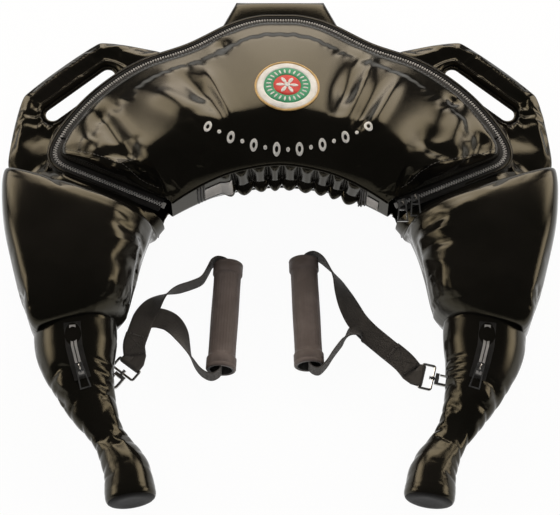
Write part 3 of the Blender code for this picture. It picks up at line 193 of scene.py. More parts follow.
def capEnds(piece, grid, ends=(0, -1)):
    count = len(grid[0])
    verts = [v.co.copy() for v in piece.data.vertices]
    faces = [tuple(f.vertices) for f in piece.data.polygons]
    for end in ends:
        start = end % len(grid) * count
        faces += [(start + k, start + (k + 1) % count, len(verts)) for k in range(count)]
        verts.append(sum(grid[end], Vector()) / count)
    fillMesh(piece.data, verts, faces)


def stackFaces(start, rings, count):
    faces = []
    for low in range(start, start + (rings - 1) * count, count):
        for m in range(count):
            n = (m + 1) % count
            faces.append((low + m, low + n, low + count + n, low + count + m))
    faces.append(tuple(range(start + count - 1, start - 1, -1)))
    faces.append(tuple(range(start + (rings - 1) * count, start + rings * count)))
    return faces


def tidyNormals(piece):
    build = bmesh.new()
    build.from_mesh(piece.data)
    bmesh.ops.remove_doubles(build, verts=build.verts, dist=2e-5)
    bmesh.ops.recalc_face_normals(build, faces=build.faces)
    build.to_mesh(piece.data)
    build.free()
    piece.data.shade_smooth()


def turnUp(piece):
    tidyNormals(piece)
    if sum(f.normal.z for f in piece.data.polygons) < 0:
        piece.data.flip_normals()
    return piece


def pushOut(piece, amount):
    mesh = piece.data
    normals = [v.normal.copy() for v in mesh.vertices]
    for v, n in zip(mesh.vertices, normals):
        v.co = v.co + n * amount(v.co, n)
    mesh.update()


# Cover cloth, blown up a little by its stuffing: the values that all stuffed pieces share
clothValues = {"quality": 5, "mass": 0.3, "tension_stiffness": 25, "compression_stiffness": 25, "shear_stiffness": 10,
               "bending_stiffness": 0.5, "air_damping": 2, "use_pressure": True}
clothFrames = 20


def stuff(piece, held, settings):
    mesh = piece.data
    before = [v.co.copy() for v in mesh.vertices]
    group = piece.vertex_groups.new(name="held")
    group.add([v.index for v in mesh.vertices if held(v.co, v.index)], 1.0, "REPLACE")
    cloth = piece.modifiers.new("stuffing", "CLOTH")
    for key, value in clothValues.items():
        setattr(cloth.settings, key, value)
    cloth.settings.uniform_pressure_force = settings["pressure"]
    cloth.settings.shrink_min = -settings["slack"]
    cloth.settings.vertex_group_mass = group.name
    cloth.settings.effector_weights.gravity = 0
    cloth.collision_settings.use_collision = False
    cloth.collision_settings.use_self_collision = False
    cloth.point_cache.frame_end = clothFrames
    for number in range(1, clothFrames + 1):
        bpy.context.scene.frame_set(number)
    graph = bpy.context.evaluated_depsgraph_get()
    after = [v.co.copy() for v in piece.evaluated_get(graph).data.vertices]
    piece.modifiers.clear()
    piece.vertex_groups.clear()
    for v, old, new in zip(mesh.vertices, before, after):
        move = new - old
        if move.length > settings["cap"]:
            move = move.normalized() * settings["cap"]
        v.co = old + move
    mesh.update()
    bpy.context.scene.frame_set(1)
    print("stuffed", piece.name, "moved up to %.1f mm" % (max((b - a).length for a, b in zip(before, after)) * 1000))


# Creases are paths on the plan with a height, a width and a sharp or a soft section
crease = {"reach": 3.5, "taper": 0.3, "endShare": 0.25}


def liftAt(p, creases):
    total = 0.0
    for path, height, width, sharp in creases:
        best, place = None, 0.0
        for k, (a, b) in enumerate(zip(path, path[1:])):
            e = (b[0] - a[0], b[1] - a[1])
            f = ((p.x - a[0]) * e[0] + (p.y - a[1]) * e[1]) / (e[0] ** 2 + e[1] ** 2)
            f = min(max(f, 0.0), 1.0)
            d = math.hypot(p.x - a[0] - e[0] * f, p.y - a[1] - e[1] * f)
            if best is None or d < best:
                best, place = d, (k + f) / (len(path) - 1)
        if best < width * crease["reach"]:
            ends = smoothStep(0, crease["taper"], place) * smoothStep(0, crease["taper"], 1 - place)
            if isinstance(height, tuple):
                height = height[0] + (height[1] - height[0]) * place
            profile = math.exp(-best / width) if sharp else math.exp(-(best / width) ** 2)
            total += height * profile * (crease["endShare"] + (1 - crease["endShare"]) * ends)
    return total


def press(piece, creases, lowest):
    pushOut(piece, lambda p, n: liftAt(p, creases) if p.z > lowest and n.z > 0.1 else 0)


def thicken(piece, thickness):
    solid = piece.modifiers.new("thickness", "SOLIDIFY")
    solid.thickness = thickness


def soften(piece):
    smooth = piece.modifiers.new("smooth", "SUBSURF")
    smooth.levels = smooth.render_levels = 1


def dress(piece, finish, body=None, replaced=()):
    piece.data.materials.clear()
    piece.data.materials.append(materials[finish])
    if replaced:
        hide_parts(*replaced)
    if body:
        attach(piece, body)


def tube(name, path, radius, sides=8, closed=False):
    count = len(path)
    grid, across = [], None
    for i, p in enumerate(path):
        if closed:
            ahead = (path[(i + 1) % count] - path[i - 1]).normalized()
        else:
            ahead = (path[min(i + 1, count - 1)] - path[max(i - 1, 0)]).normalized()
        if across is None:
            across = ahead.cross(up)
            across = across.normalized() if across.length > 1e-4 else Vector((1, 0, 0))
        across = (across - ahead * across.dot(ahead)).normalized()
        other = ahead.cross(across)
        grid.append([p + (across * math.cos(a) + other * math.sin(a)) * radius
                     for a in (2 * math.pi * k / sides for k in range(sides))])
    if not closed:
        grid = [[path[0]] * sides] + grid + [[path[-1]] * sides]
    piece = gridPiece(name, grid, wrapRows=closed, wrapColumns=True)
    tidyNormals(piece)
    return piece


def fuse(name, pieces):
    verts, faces = [], []
    for piece in pieces:
        start = len(verts)
        verts += [tuple(v.co) for v in piece.data.vertices]
        faces += [tuple(start + k for k in f.vertices) for f in piece.data.polygons]
        bpy.data.objects.remove(piece, do_unlink=True)
    return meshPiece(name, verts, faces)


stitchSection = ((-0.5, 0.35), (-0.3, 0.9), (0, 1.05), (0.3, 0.9), (0.5, 0.35))


def stitchRow(name, path, pitch, length, radius):
    total, around = lengthsOf(path)[-1], 6
    count = max(int(total / pitch), 2)
    verts, faces = [], []
    spots = portion(path, 0, total, 2 * count + 1)
    for k in range(count):
        a, b = spots[2 * k], spots[2 * k + 2]
        ahead = (b - a).normalized()
        middle = (a + b) / 2
        across = ahead.cross(up).normalized()
        rise = across.cross(ahead)
        faces += stackFaces(len(verts), len(stitchSection), around)
        for share, size in stitchSection:
            for m in range(around):
                t = 2 * math.pi * m / around
                outward = across * math.cos(t) + rise * math.sin(t)
                verts.append(middle + ahead * share * length + outward * radius * size)
    return meshPiece(name, verts, faces)


# Finishes

def newGroup(name, inputs, outputs):
    group = bpy.data.node_groups.new(name, "ShaderNodeTree")
    for socketName, kind, value in inputs:
        made = group.interface.new_socket(name=socketName, in_out="INPUT", socket_type=kind)
        if value is not None:
            made.default_value = value
    for socketName, kind in outputs:
        group.interface.new_socket(name=socketName, in_out="OUTPUT", socket_type=kind)
    return group, group.nodes.new("NodeGroupInput"), group.nodes.new("NodeGroupOutput")


def mathNode(tree, operation, a, b=None):
    node = tree.nodes.new("ShaderNodeMath")
    node.operation = operation
    for k, value in enumerate((a, b)):
        if value is None:
            continue
        if isinstance(value, (int, float)):
            node.inputs[k].default_value = value
        else:
            tree.links.new(value, node.inputs[k])
    return node.outputs[0]


def makeWeaveGroup():
    group, given, out = newGroup(
        "twillWeave", [("Vector", "NodeSocketVector", None), ("Pitch", "NodeSocketFloat", 0.0011)],
        [("Height", "NodeSocketFloat"), ("Threads", "NodeSocketFloat")])
    split = group.nodes.new("ShaderNodeSeparateXYZ")
    group.links.new(given.outputs["Vector"], split.inputs[0])
    x, y, z = split.outputs
    turn = mathNode(group, "DIVIDE", 2 * math.pi, given.outputs["Pitch"])

    def slanted(mode, main, side, sideShare, heightShare):
        flat = mathNode(group, mode, main, mathNode(group, "MULTIPLY", side, sideShare))
        run = mathNode(group, "ADD", flat, mathNode(group, "MULTIPLY", z, heightShare))
        return mathNode(group, "SINE", mathNode(group, "MULTIPLY", run, turn))

    warp = slanted("ADD", x, y, 0.55, 0.8)
    weft = slanted("SUBTRACT", y, x, 0.4, 0.9)
    both = mathNode(group, "MULTIPLY", warp, weft)
    group.links.new(mathNode(group, "MULTIPLY_ADD", both, 0.5), out.inputs["Height"])
    group.links.new(mathNode(group, "ABSOLUTE", warp), out.inputs["Threads"])
    return group


def makeGrainGroup():
    group, given, out = newGroup(
        "worn",
        [("Vector", "NodeSocketVector", None), ("Scale", "NodeSocketFloat", 40.0), ("Amount", "NodeSocketFloat", 0.5)],
        [("Height", "NodeSocketFloat"), ("Mask", "NodeSocketFloat")])
    texture = group.nodes.new("ShaderNodeTexNoise")
    texture.inputs["Detail"].default_value = 5
    group.links.new(given.outputs["Vector"], texture.inputs["Vector"])
    group.links.new(given.outputs["Scale"], texture.inputs["Scale"])
    height = mathNode(group, "MULTIPLY", texture.outputs["Fac"], given.outputs["Amount"])
    group.links.new(height, out.inputs["Height"])
    ramp = group.nodes.new("ShaderNodeValToRGB")
    ramp.color_ramp.elements[0].position = 0.42
    ramp.color_ramp.elements[1].position = 0.66
    group.links.new(texture.outputs["Fac"], ramp.inputs["Fac"])
    group.links.new(ramp.outputs["Color"], out.inputs["Mask"])
    return group


weaveGroup = makeWeaveGroup()
grainGroup = makeGrainGroup()


def useGroup(tree, group, vector, **values):
    node = tree.nodes.new("ShaderNodeGroup")
    node.node_tree = group
    tree.links.new(vector, node.inputs["Vector"])
    for key, value in values.items():
        node.inputs[key].default_value = value
    return node


def mixColour(tree, fac, a, b):
    node = tree.nodes.new("ShaderNodeMix")
    node.data_type = "RGBA"
    tree.links.new(fac, node.inputs["Factor"])
    node.inputs["A"].default_value = (*a, 1)
    node.inputs["B"].default_value = (*b, 1)
    return node.outputs["Result"]


def rangeOf(tree, value, low, high):
    node = tree.nodes.new("ShaderNodeMapRange")
    tree.links.new(value, node.inputs["Value"])
    node.inputs["To Min"].default_value = low
    node.inputs["To Max"].default_value = high
    return node.outputs["Result"]


def newFinish(name, settings):
    material = bpy.data.materials.new(name)
    material.use_nodes = True
    tree = material.node_tree
    shader = tree.nodes["Principled BSDF"]
    place = tree.nodes.new("ShaderNodeTexCoord").outputs["Object"]
    for key, value in settings.get("fixed", {}).items():
        shader.inputs[key].default_value = value
    wear = useGroup(tree, grainGroup, place, Scale=settings["patchScale"], Amount=1.0)
    fine = useGroup(tree, grainGroup, place, Scale=settings["grainScale"], Amount=1.0)
    colour = mixColour(tree, wear.outputs["Mask"], settings["colour"], settings["worn"])
    tree.links.new(colour, shader.inputs["Base Color"])
    tree.links.new(rangeOf(tree, fine.outputs["Height"], *settings["roughness"]), shader.inputs["Roughness"])
    bump = tree.nodes.new("ShaderNodeBump")
    bump.inputs["Strength"].default_value = settings["bump"]
    bump.inputs["Distance"].default_value = settings["depth"]
    height = mathNode(tree, "MULTIPLY", fine.outputs["Height"], settings["grainDepth"])
    if "weave" in settings:
        weave = useGroup(tree, weaveGroup, place, Pitch=settings["weave"])
        threads = mathNode(tree, "MULTIPLY", weave.outputs["Height"], settings["weaveDepth"])
        height = mathNode(tree, "ADD", threads, height)
    tree.links.new(height, bump.inputs["Height"])
    tree.links.new(bump.outputs["Normal"], shader.inputs["Normal"])
    return material


embroidery = {"patchScale": 90, "grainScale": 600, "bump": 0.6, "depth": 0.0003, "weave": 0.0010, "weaveDepth": 0.6,
              "grainDepth": 0.4}
finishes = {
    "vinyl": {"colour": (0.0045, 0.0042, 0.0036), "worn": (0.0085, 0.0075, 0.0065), "roughness": (0.07, 0.19),
              "patchScale": 9, "grainScale": 26, "bump": 0.30, "depth": 0.0005, "weave": 0.0012,
              "weaveDepth": 0.20, "grainDepth": 0.6,
              "fixed": {"Specular IOR Level": 0.34, "Specular Tint": (1.0, 0.88, 0.58, 1)}},
    "hornEnd": {"colour": (0.0050, 0.0046, 0.0042), "worn": (0.0100, 0.0092, 0.0084), "roughness": (0.35, 0.5),
                "patchScale": 20, "grainScale": 60, "bump": 0.5, "depth": 0.0005, "weave": 0.0012,
                "weaveDepth": 0.3, "grainDepth": 0.6, "fixed": {"Specular IOR Level": 0.08}},
    "lining": {"colour": (0.020, 0.019, 0.018), "worn": (0.030, 0.028, 0.026), "roughness": (0.7, 0.9),
               "patchScale": 12, "grainScale": 200, "bump": 0.5, "depth": 0.0006, "weave": 0.0016,
               "weaveDepth": 0.5, "grainDepth": 0.3},
    "zipTape": {"colour": (0.005, 0.005, 0.005), "worn": (0.010, 0.0095, 0.009), "roughness": (0.65, 0.9),
                "patchScale": 30, "grainScale": 300, "bump": 0.6, "depth": 0.0004, "weave": 0.0008,
                "weaveDepth": 0.6, "grainDepth": 0.3},
    "zipTeeth": {"colour": (0.24, 0.235, 0.225), "worn": (0.34, 0.33, 0.32), "roughness": (0.22, 0.4),
                 "patchScale": 80, "grainScale": 300, "bump": 0.15, "depth": 0.0002, "grainDepth": 0.4,
                 "fixed": {"Specular IOR Level": 0.6}},
    "steel": {"colour": (0.55, 0.54, 0.52), "worn": (0.36, 0.35, 0.33), "roughness": (0.14, 0.34),
              "patchScale": 160, "grainScale": 420, "bump": 0.12, "depth": 0.0003, "grainDepth": 0.5,
              "fixed": {"Metallic": 1.0}},
    "webbing": {"colour": (0.050, 0.043, 0.037), "worn": (0.074, 0.065, 0.055), "roughness": (0.6, 0.85),
                "patchScale": 40, "grainScale": 500, "bump": 0.9, "depth": 0.0006, "weave": 0.0017,
                "weaveDepth": 0.8, "grainDepth": 0.35, "fixed": {"Sheen Weight": 0.15, "Sheen Roughness": 0.5}},
    "thread": {"colour": (0.045, 0.041, 0.038), "worn": (0.080, 0.074, 0.068), "roughness": (0.45, 0.7),
               "patchScale": 100, "grainScale": 900, "bump": 0.5, "depth": 0.0002, "grainDepth": 0.6},
    "elastic": {"colour": (0.80, 0.77, 0.74), "worn": (0.66, 0.63, 0.60), "roughness": (0.6, 0.85),
                "patchScale": 60, "grainScale": 400, "bump": 0.7, "depth": 0.0005, "weave": 0.0014,
                "weaveDepth": 0.7, "grainDepth": 0.3},
    "rubber": {"colour": (0.100, 0.077, 0.068), "worn": (0.132, 0.104, 0.094), "roughness": (0.45, 0.66),
               "patchScale": 50, "grainScale": 520, "bump": 0.45, "depth": 0.0004, "grainDepth": 0.6},
    "patchPale": {**embroidery, "colour": (0.72, 0.71, 0.68), "worn": (0.60, 0.59, 0.56), "roughness": (0.55, 0.75)},
    "patchGreen": {**embroidery, "colour": (0.020, 0.23, 0.10), "worn": (0.030, 0.28, 0.13), "roughness": (0.5, 0.7)},
    "patchRed": {**embroidery, "colour": (0.52, 0.030, 0.022), "worn": (0.60, 0.045, 0.032), "roughness": (0.5, 0.7)},
    "patchGold": {**embroidery, "colour": (0.56, 0.36, 0.13), "worn": (0.46, 0.29, 0.10), "roughness": (0.4, 0.6),
                  "weave": 0.0008, "weaveDepth": 0.7},
    "tubeEnd": {"colour": (0.022, 0.021, 0.020), "worn": (0.04, 0.038, 0.036), "roughness": (0.4, 0.6),
                "patchScale": 60, "grainScale": 300, "bump": 0.2, "depth": 0.0003, "grainDepth": 0.4},
}
materials = {name: newFinish(name, settings) for name, settings in finishes.items()}
print("finishes made:", len(materials))

# Camera, as the photograph was taken: from the horns' side, looking steeply down
view = {"elevation": 64, "distance": 2.0, "aim": (0, -0.012, 0), "lens": 111.857}
cameraData = bpy.data.cameras.new("camera")
camera = bpy.data.objects.new("camera", cameraData)
bpy.context.scene.collection.objects.link(camera)
tilt = math.radians(view["elevation"])
camera.location = Vector(view["aim"]) + Vector((0, -math.cos(tilt), math.sin(tilt))) * view["distance"]
camera.rotation_euler = (math.pi / 2 - tilt, 0, 0)
cameraData.lens = view["lens"]
cameraData.sensor_width = 36
bpy.context.scene.camera = camera

# The lid: the quilted top of the pouch, from the neck seam to the zip
lid = {"columns": 200, "rows": 50, "edgeInset": 0.0062, "footRise": 0.0029, "thickness": 0.0016,
       "blendHalf": 0.022, "foldHeight": 0.14, "fallEdge": 0.46, "fallCrest": 0.20, "fallOver": 0.150,
       "roll": 0.0118, "rollWide": 0.0032, "cliff": 0.044, "cliffWide": 0.0030, "cliffFall": 0.5, "neckRoll": 0.004,
       "neckRollWide": 0.004, "neckFall": 0.86, "meet": 8, "heldNeck": 9, "heldEdge": 12, "creasedFrom": 0.012,
       "stuffing": {"slack": 0.022, "pressure": 4, "cap": 0.0024},
       "lobeFrom": 0.11, "lobeTo": 0.19, "lobeEdge": 0.33,
       "creases": (
           (((-0.070, 0.237), (-0.066, 0.208)), (0.003, -0.0060), 0.0070, False),
           (((-0.135, 0.182), (-0.112, 0.170), (-0.093, 0.145), (-0.080, 0.118)), (0.002, -0.0090), 0.0100, False),
           (((-0.148, 0.150), (-0.115, 0.123), (-0.093, 0.101)), 0.0040, 0.0130, False),
           (((-0.218, 0.146), (-0.199, 0.115), (-0.172, 0.066), (-0.145, 0.030), (-0.118, 0.008)),
            -0.0085, 0.0115, False),
           (((-0.232, 0.106), (-0.199, 0.063), (-0.155, 0.024)), 0.0040, 0.0120, False),
           (((-0.087, 0.179), (-0.072, 0.142), (-0.048, 0.079)), 0.0036, 0.0045, True),
           (((-0.096, 0.175), (-0.080, 0.138), (-0.057, 0.078)), (0.001, -0.0055), 0.0070, False),
           (((0.098, 0.222), (0.082, 0.167), (0.067, 0.110)), (0.004, -0.0120), 0.0105, False),
           (((0.112, 0.214), (0.096, 0.158), (0.079, 0.104)), 0.0040, 0.0055, True),
           (((0.127, 0.188), (0.103, 0.131), (0.079, 0.076)), (0.002, -0.0095), 0.0085, False),
           (((0.138, 0.168), (0.117, 0.120), (0.095, 0.073)), 0.0036, 0.0070, False),
           (((0.195, 0.152), (0.203, 0.137)), -0.0050, 0.0070, False),
           (((0.212, 0.135), (0.191, 0.077), (0.150, 0.014)), 0.0045, 0.0130, False),
           (((0.235, 0.105), (0.224, 0.080), (0.208, 0.055)), -0.0075, 0.0090, False),
           (((0.176, 0.110), (0.154, 0.057), (0.128, 0.017)), -0.0060, 0.0160, False),
           (((0.060, 0.075), (0.048, 0.100)), 0.0016, 0.004, True),
           (((0.084, 0.066), (0.076, 0.086)), 0.0018, 0.004, True),
           (((-0.070, 0.072), (-0.060, 0.094)), 0.0016, 0.004, True),
           (((-0.100, 0.050), (-0.092, 0.074)), 0.0018, 0.004, True),
       )}


cornerAt = distanceAtY(pouch["cornerY"] + 0.004)
backEdge = portion(zipLine, cornerAt, zipTotal - cornerAt, 90)
straightEdges = [portion(zipLine, 0, cornerAt, 24), portion(zipLine, zipTotal - cornerAt, zipTotal, 24)]


def pouchPlan(edgeInset, neckInset, columns, trim=pouch["endTrim"]):
    neck = portion(neckLine, trim, neckTotal - trim, columns)
    edge = portion(zipLine, trim, zipTotal - trim, columns)
    return offsetLine(neck, -neckInset), offsetLine(edge, edgeInset)


def seamHeight(u):
    return pouch["zipHeight"] + pouch["seamRise"] * 4 * u * (1 - u)


def nearestTo(p, line):
    best = 1.0
    for a, b in zip(line, line[1:]):
        ex, ey = b.x - a.x, b.y - a.y
        f = ((p.x - a.x) * ex + (p.y - a.y) * ey) / (ex * ex + ey * ey)
        f = min(max(f, 0.0), 1.0)
        best = min(best, math.hypot(p.x - a.x - ex * f, p.y - a.y - ey * f))
    return best


def lidHeight(p, low, neckLevel, foot):
    s = max(nearestTo(p, backEdge) - lid["edgeInset"], 0)
    lobe = smoothStep(lid["lobeFrom"], lid["lobeTo"], abs(p.x))
    edgeFall = lid["fallEdge"] + (lid["lobeEdge"] - lid["fallEdge"]) * lobe
    fall = edgeFall * s - (edgeFall - lid["fallCrest"]) * s * s / (2 * lid["fallOver"])
    away = foot + lid["roll"] * (1 - math.exp(-s / lid["rollWide"])) + fall
    s = max(min(nearestTo(p, line) for line in straightEdges) - lid["edgeInset"], 0)
    ahead = foot + lid["cliff"] * (1 - math.exp(-s / lid["cliffWide"])) + lid["cliffFall"] * s
    s = nearestTo(p, neckLine[::3])
    near = neckLevel + lid["neckRoll"] * (1 - math.exp(-s / lid["neckRollWide"])) + lid["neckFall"] * s
    total = 0.0
    for level in (away, ahead, near):
        if level - low < 1e-5:
            return low
        total += (level - low) ** -lid["meet"]
    return low + total ** (-1 / lid["meet"])


def domeGrid(plan, drop, rows, foot, fullness=None):
    neck, edge = plan
    columns = len(neck)
    grid = []
    for i in range(rows):
        v = 0.5 - 0.5 * math.cos(math.pi * i / (rows - 1))
        swell = (1 - abs(2 * v - 1) ** fullness) ** (1 / fullness) if fullness else 1
        row = []
        for j in range(columns):
            u = j / (columns - 1)
            p = neck[j].lerp(edge[j], v)
            level = seamHeight(u) + 0.0003
            low = level * (1 - v) + foot * v
            p.z = low - drop
            if 0 < i < rows - 1:
                p.z += (lidHeight(p, low, level, foot) - low) * swell
            row.append(p)
        grid.append(row)
    return grid


def makeLid():
    plan = pouchPlan(lid["edgeInset"], 0.0003, lid["columns"])
    return turnUp(gridPiece("lidSkin", domeGrid(plan, 0, lid["rows"], pouch["zipHeight"] + lid["footRise"])))


def heldLid(_, k):
    row, column = divmod(k, lid["columns"])
    return row < lid["heldNeck"] or row >= lid["rows"] - 1 - lid["heldEdge"] or column in (0, lid["columns"] - 1)


lidSkin = makeLid()
stuff(lidSkin, heldLid, lid["stuffing"])
press(lidSkin, lid["creases"], pouch["zipHeight"] + lid["creasedFrom"])
thicken(lidSkin, lid["thickness"])
soften(lidSkin)
dress(lidSkin, "vinyl", replaced=("pouch_lid", "lid_yoke"))
print("lid made")

# The inner bag that fills the pouch, seen only with the lid open
filling = {"columns": 90, "rows": 26, "zipRoom": 0.0091, "gap": 0.0045, "neckGap": 0.0065, "under": 0.016,
           "floor": 0.0045, "fullness": 4}


def makeFilling():
    neckGap, rows = pouch["neckUndercut"] + filling["neckGap"], filling["rows"]
    plan = pouchPlan(filling["zipRoom"] + filling["gap"], neckGap, filling["columns"], 2 * neckGap)
    grid = domeGrid(plan, filling["under"], rows, zipSeat, filling["fullness"])
    rings = []
    for j in range(filling["columns"]):
        ring = [grid[i][j] for i in range(rows)]
        rings.append(ring + [Vector((p.x, p.y, filling["floor"])) for p in ring[::-3]])
    piece = gridPiece("fillingBag", rings, wrapColumns=True)
    capEnds(piece, rings)
    tidyNormals(piece)
    return piece


fillingBag = makeFilling()
dress(fillingBag, "lining", "bag", ("pouch_filling",))

# The wall of the pouch outside the zip
wall = {"steps": 260, "rows": 14, "bulge": 0.002, "thickness": 0.0016, "rootIn": 0.001, "low": 0.0006, "short": 0.0025,
        "lip": ((0.0012, 0.0012), (0.0032, 0.0018), (0.0050, 0.0004), (0.0052, -0.003))}


def makeWall():
    path = portion(zipLine, foldAt / 2, zipTotal - foldAt / 2, wall["steps"])
    out = pouch["wallOut"]
    section = []
    for i in range(wall["rows"]):
        f = i / (wall["rows"] - 1)
        bulge = wall["bulge"] * math.sin(math.pi * f) ** 0.8
        section.append((out - wall["rootIn"] + bulge, wall["low"] + (zipSeat - wall["short"]) * f))
    section += [(out - inward, zipSeat + rise) for inward, rise in wall["lip"]]
    lines = [offsetLine(path, -s) for s, _ in section]
    grid = [[Vector((line[k].x, line[k].y, z)) for k in range(len(path))] for line, (_, z) in zip(lines, section)]
    piece = gridPiece("pouchWall", grid)
    tidyNormals(piece)
    middle = piece.data.polygons[len(piece.data.polygons) // 3]
    if middle.normal.dot(Vector((middle.center.x, middle.center.y - 0.1, 0))) < 0:
        piece.data.flip_normals()
    return piece


pouchWall = makeWall()
thicken(pouchWall, wall["thickness"])
dress(pouchWall, "vinyl", "bag", ("outer_wall",))

# The back, which lies on the floor
back = {"columns": 120, "rows": 16, "thickness": 0.0022, "crown": 0.0012, "ripple": 30}


def makeBack():
    neck, edge = pouchPlan(-pouch["wallOut"], pouch["neckUndercut"] - 0.0025, back["columns"])
    grid = []
    level = back["thickness"] + 0.0002
    for i in range(back["rows"]):
        row = [a.lerp(b, i / (back["rows"] - 1)) for a, b in zip(neck, edge)]
        grid.append([Vector((p.x, p.y, level + back["crown"] * abs(noise.noise(p * back["ripple"])))) for p in row])
    return turnUp(gridPiece("backSkin", grid))


backSkin = makeBack()
thicken(backSkin, back["thickness"])
dress(backSkin, "vinyl", "bag", ("back_panel",))

# Wings: the stuffed chambers on both sides
wing = {
    "hem": (0.276, -0.134), "hemInner": (0.1755, -0.112), "edgeOut": 0.049, "height": 0.118, "shelf": 0.030,
    "outer": ((0, 0), (0.24, 0.14), (0.54, 0.31), (0.88, 0.52), (1.10, 0.75), (1.10, 0.88), (1, 1)),
    "inner": ((0, 0), (0.24, 0.16), (0.37, 0.42), (0.52, 0.66), (0.74, 0.86), (1, 1)),
    "top": ((0, 0.755), (0.25, 0.93), (0.48, 1), (0.68, 0.975), (0.78, 0.90)),
    "seamShare": 0.32, "fullness": 3.2, "outerFullness": 10, "swellRoom": 0.0050, "shoulderIn": 0.0015,
    "sideFall": 0.11, "sideFrom": 0.45, "shoulderSpan": (0.77, 0.85), "shoulder": (0.02, 0.40), "ear": 0.034,
    "baseInset": 0.014, "rings": 84, "topSteps": 56, "floorSteps": 12, "hemStep": 0.0085, "hemLength": 0.013,
    "hemRings": (1.0, 0.985, 0.95, 0.88, 0.78, 0.66, 0.52, 0.38, 0.22, 0.1),
    "pucker": 0.0016, "puckers": 26, "puckerReach": 0.011, "seeds": {"left": 2.3, "right": 7.1},
    "zipRoll": {"left": 0.0085, "right": 0.0010}, "rollFrom": 0.80, "rollStart": (0.10, 0.35), "rollStop": (0.85, 0.98),
    "stuffing": {"slack": 0.022, "pressure": 3, "cap": 0.003},
    "creases": {
        "left": ((((-0.143, -0.028), (-0.180, -0.024)), -0.0022, 0.005, False),
                 (((-0.146, -0.038), (-0.184, -0.044)), 0.0024, 0.005, True),
                 (((-0.150, -0.047), (-0.181, -0.068)), -0.0024, 0.006, False),
                 (((-0.262, 0.062), (-0.240, 0.030)), -0.0020, 0.008, False),
                 (((-0.180, -0.085), (-0.205, -0.098)), 0.0016, 0.006, False)),
        "right": ((((0.147, -0.024), (0.186, -0.016)), -0.0024, 0.005, False),
                  (((0.148, -0.032), (0.186, -0.031)), 0.0026, 0.004, True),
                  (((0.150, -0.041), (0.190, -0.048)), -0.0026, 0.005, False),
                  (((0.152, -0.050), (0.186, -0.074)), 0.0022, 0.005, True),
                  (((0.176, -0.020), (0.216, 0.004)), 0.0020, 0.008, False),
                  (((0.170, -0.088), (0.200, -0.102)), 0.0016, 0.006, False)),
    },
}


def wingEnds(place):
    edge = Vector((*pouch["zipEnd"], 0)) + outOfStraight * pouch["wallLip"]
    far = edge + alongStraight * ((pouch["halfWidth"] + wing["edgeOut"] - edge.x) / alongStraight.x)
    (hx, hy), (ix, iy) = wing["hem"], wing["hemInner"]
    outer = [Vector((hx + (far.x - hx) * a, hy + (far.y - hy) * b, 0)) for a, b in wing["outer"]]
    inner = [Vector((ix + (edge.x - ix) * a, iy + (edge.y - iy) * b, 0)) for a, b in wing["inner"]]
    return splineAt(outer, place * (len(outer) - 1)), splineAt(inner, place * (len(inner) - 1))


def wingHeight(place):
    shelf = 1 - wing["shelf"] / (straight.length + wing["shelf"])
    level = zipSeat / wing["height"]
    return wing["height"] * max(shareAt(wing["top"] + ((shelf, level), (1, level)), place), level)


def wingKept(place, t, seam, top):
    most = 1 - (wing["ear"] - seam) / (top - seam)
    fall = most * smoothStep(*wing["shoulderSpan"], place) * (1 - smoothStep(*wing["shoulder"], t))
    return (1 - fall) * (1 - wing["sideFall"] * max(1 - t / wing["sideFrom"], 0) ** 1.3)


def wingRing(place, inset):
    outer, inner = wingEnds(place)
    across = (inner - outer).normalized()
    drawnIn = wing["swellRoom"] + wing["shoulderIn"] * smoothStep(0.50, 0.75, place)
    outer, inner = outer + across * (inset + drawnIn), inner - across * inset
    width = (inner - outer).length
    top = wingHeight(place) - inset * 0.9
    seam = wingHeight(place) * wing["seamShare"]
    base = wing["baseInset"] / width
    spots = []
    far, near = 2 / (wing["outerFullness"] - 2 * smoothStep(0.6, 1, place)), 2 / wing["fullness"]
    for k in range(401):
        a = math.pi * k / 400
        c, s = math.cos(a), math.sin(a)
        power = far if c > 0 else near
        t = 0.5 - 0.5 * math.copysign(abs(c) ** power, c)
        spots.append(Vector((t * width, 0, seam + (top - seam) * wingKept(place, t, seam, top) * abs(s) ** power)))
    spots = portion(spots, 0, lengthsOf(spots)[-1], wing["topSteps"] + 1)
    ring = [(spot.x / width, spot.z) for spot in spots]
    floor = 0.0006 + inset * 0.6
    for k in range(wing["floorSteps"] + 1):
        f = k / wing["floorSteps"]
        ring.append((1 - base - (1 - 2 * base) * f, floor))
    return [(Vector((*(outer.lerp(inner, t)).xy, z)), t) for t, z in ring]


def pucker(turn, seed):
    wander = noise.noise(Vector((turn * 4, seed, 0.5))) * 3
    size = 0.35 + 0.65 * abs(noise.noise(Vector((turn * 7, seed, 9.5)))) * 2
    return (abs(math.sin(math.pi * wing["puckers"] * turn + wander)) ** 0.6 - 0.6) * min(size, 1.2)


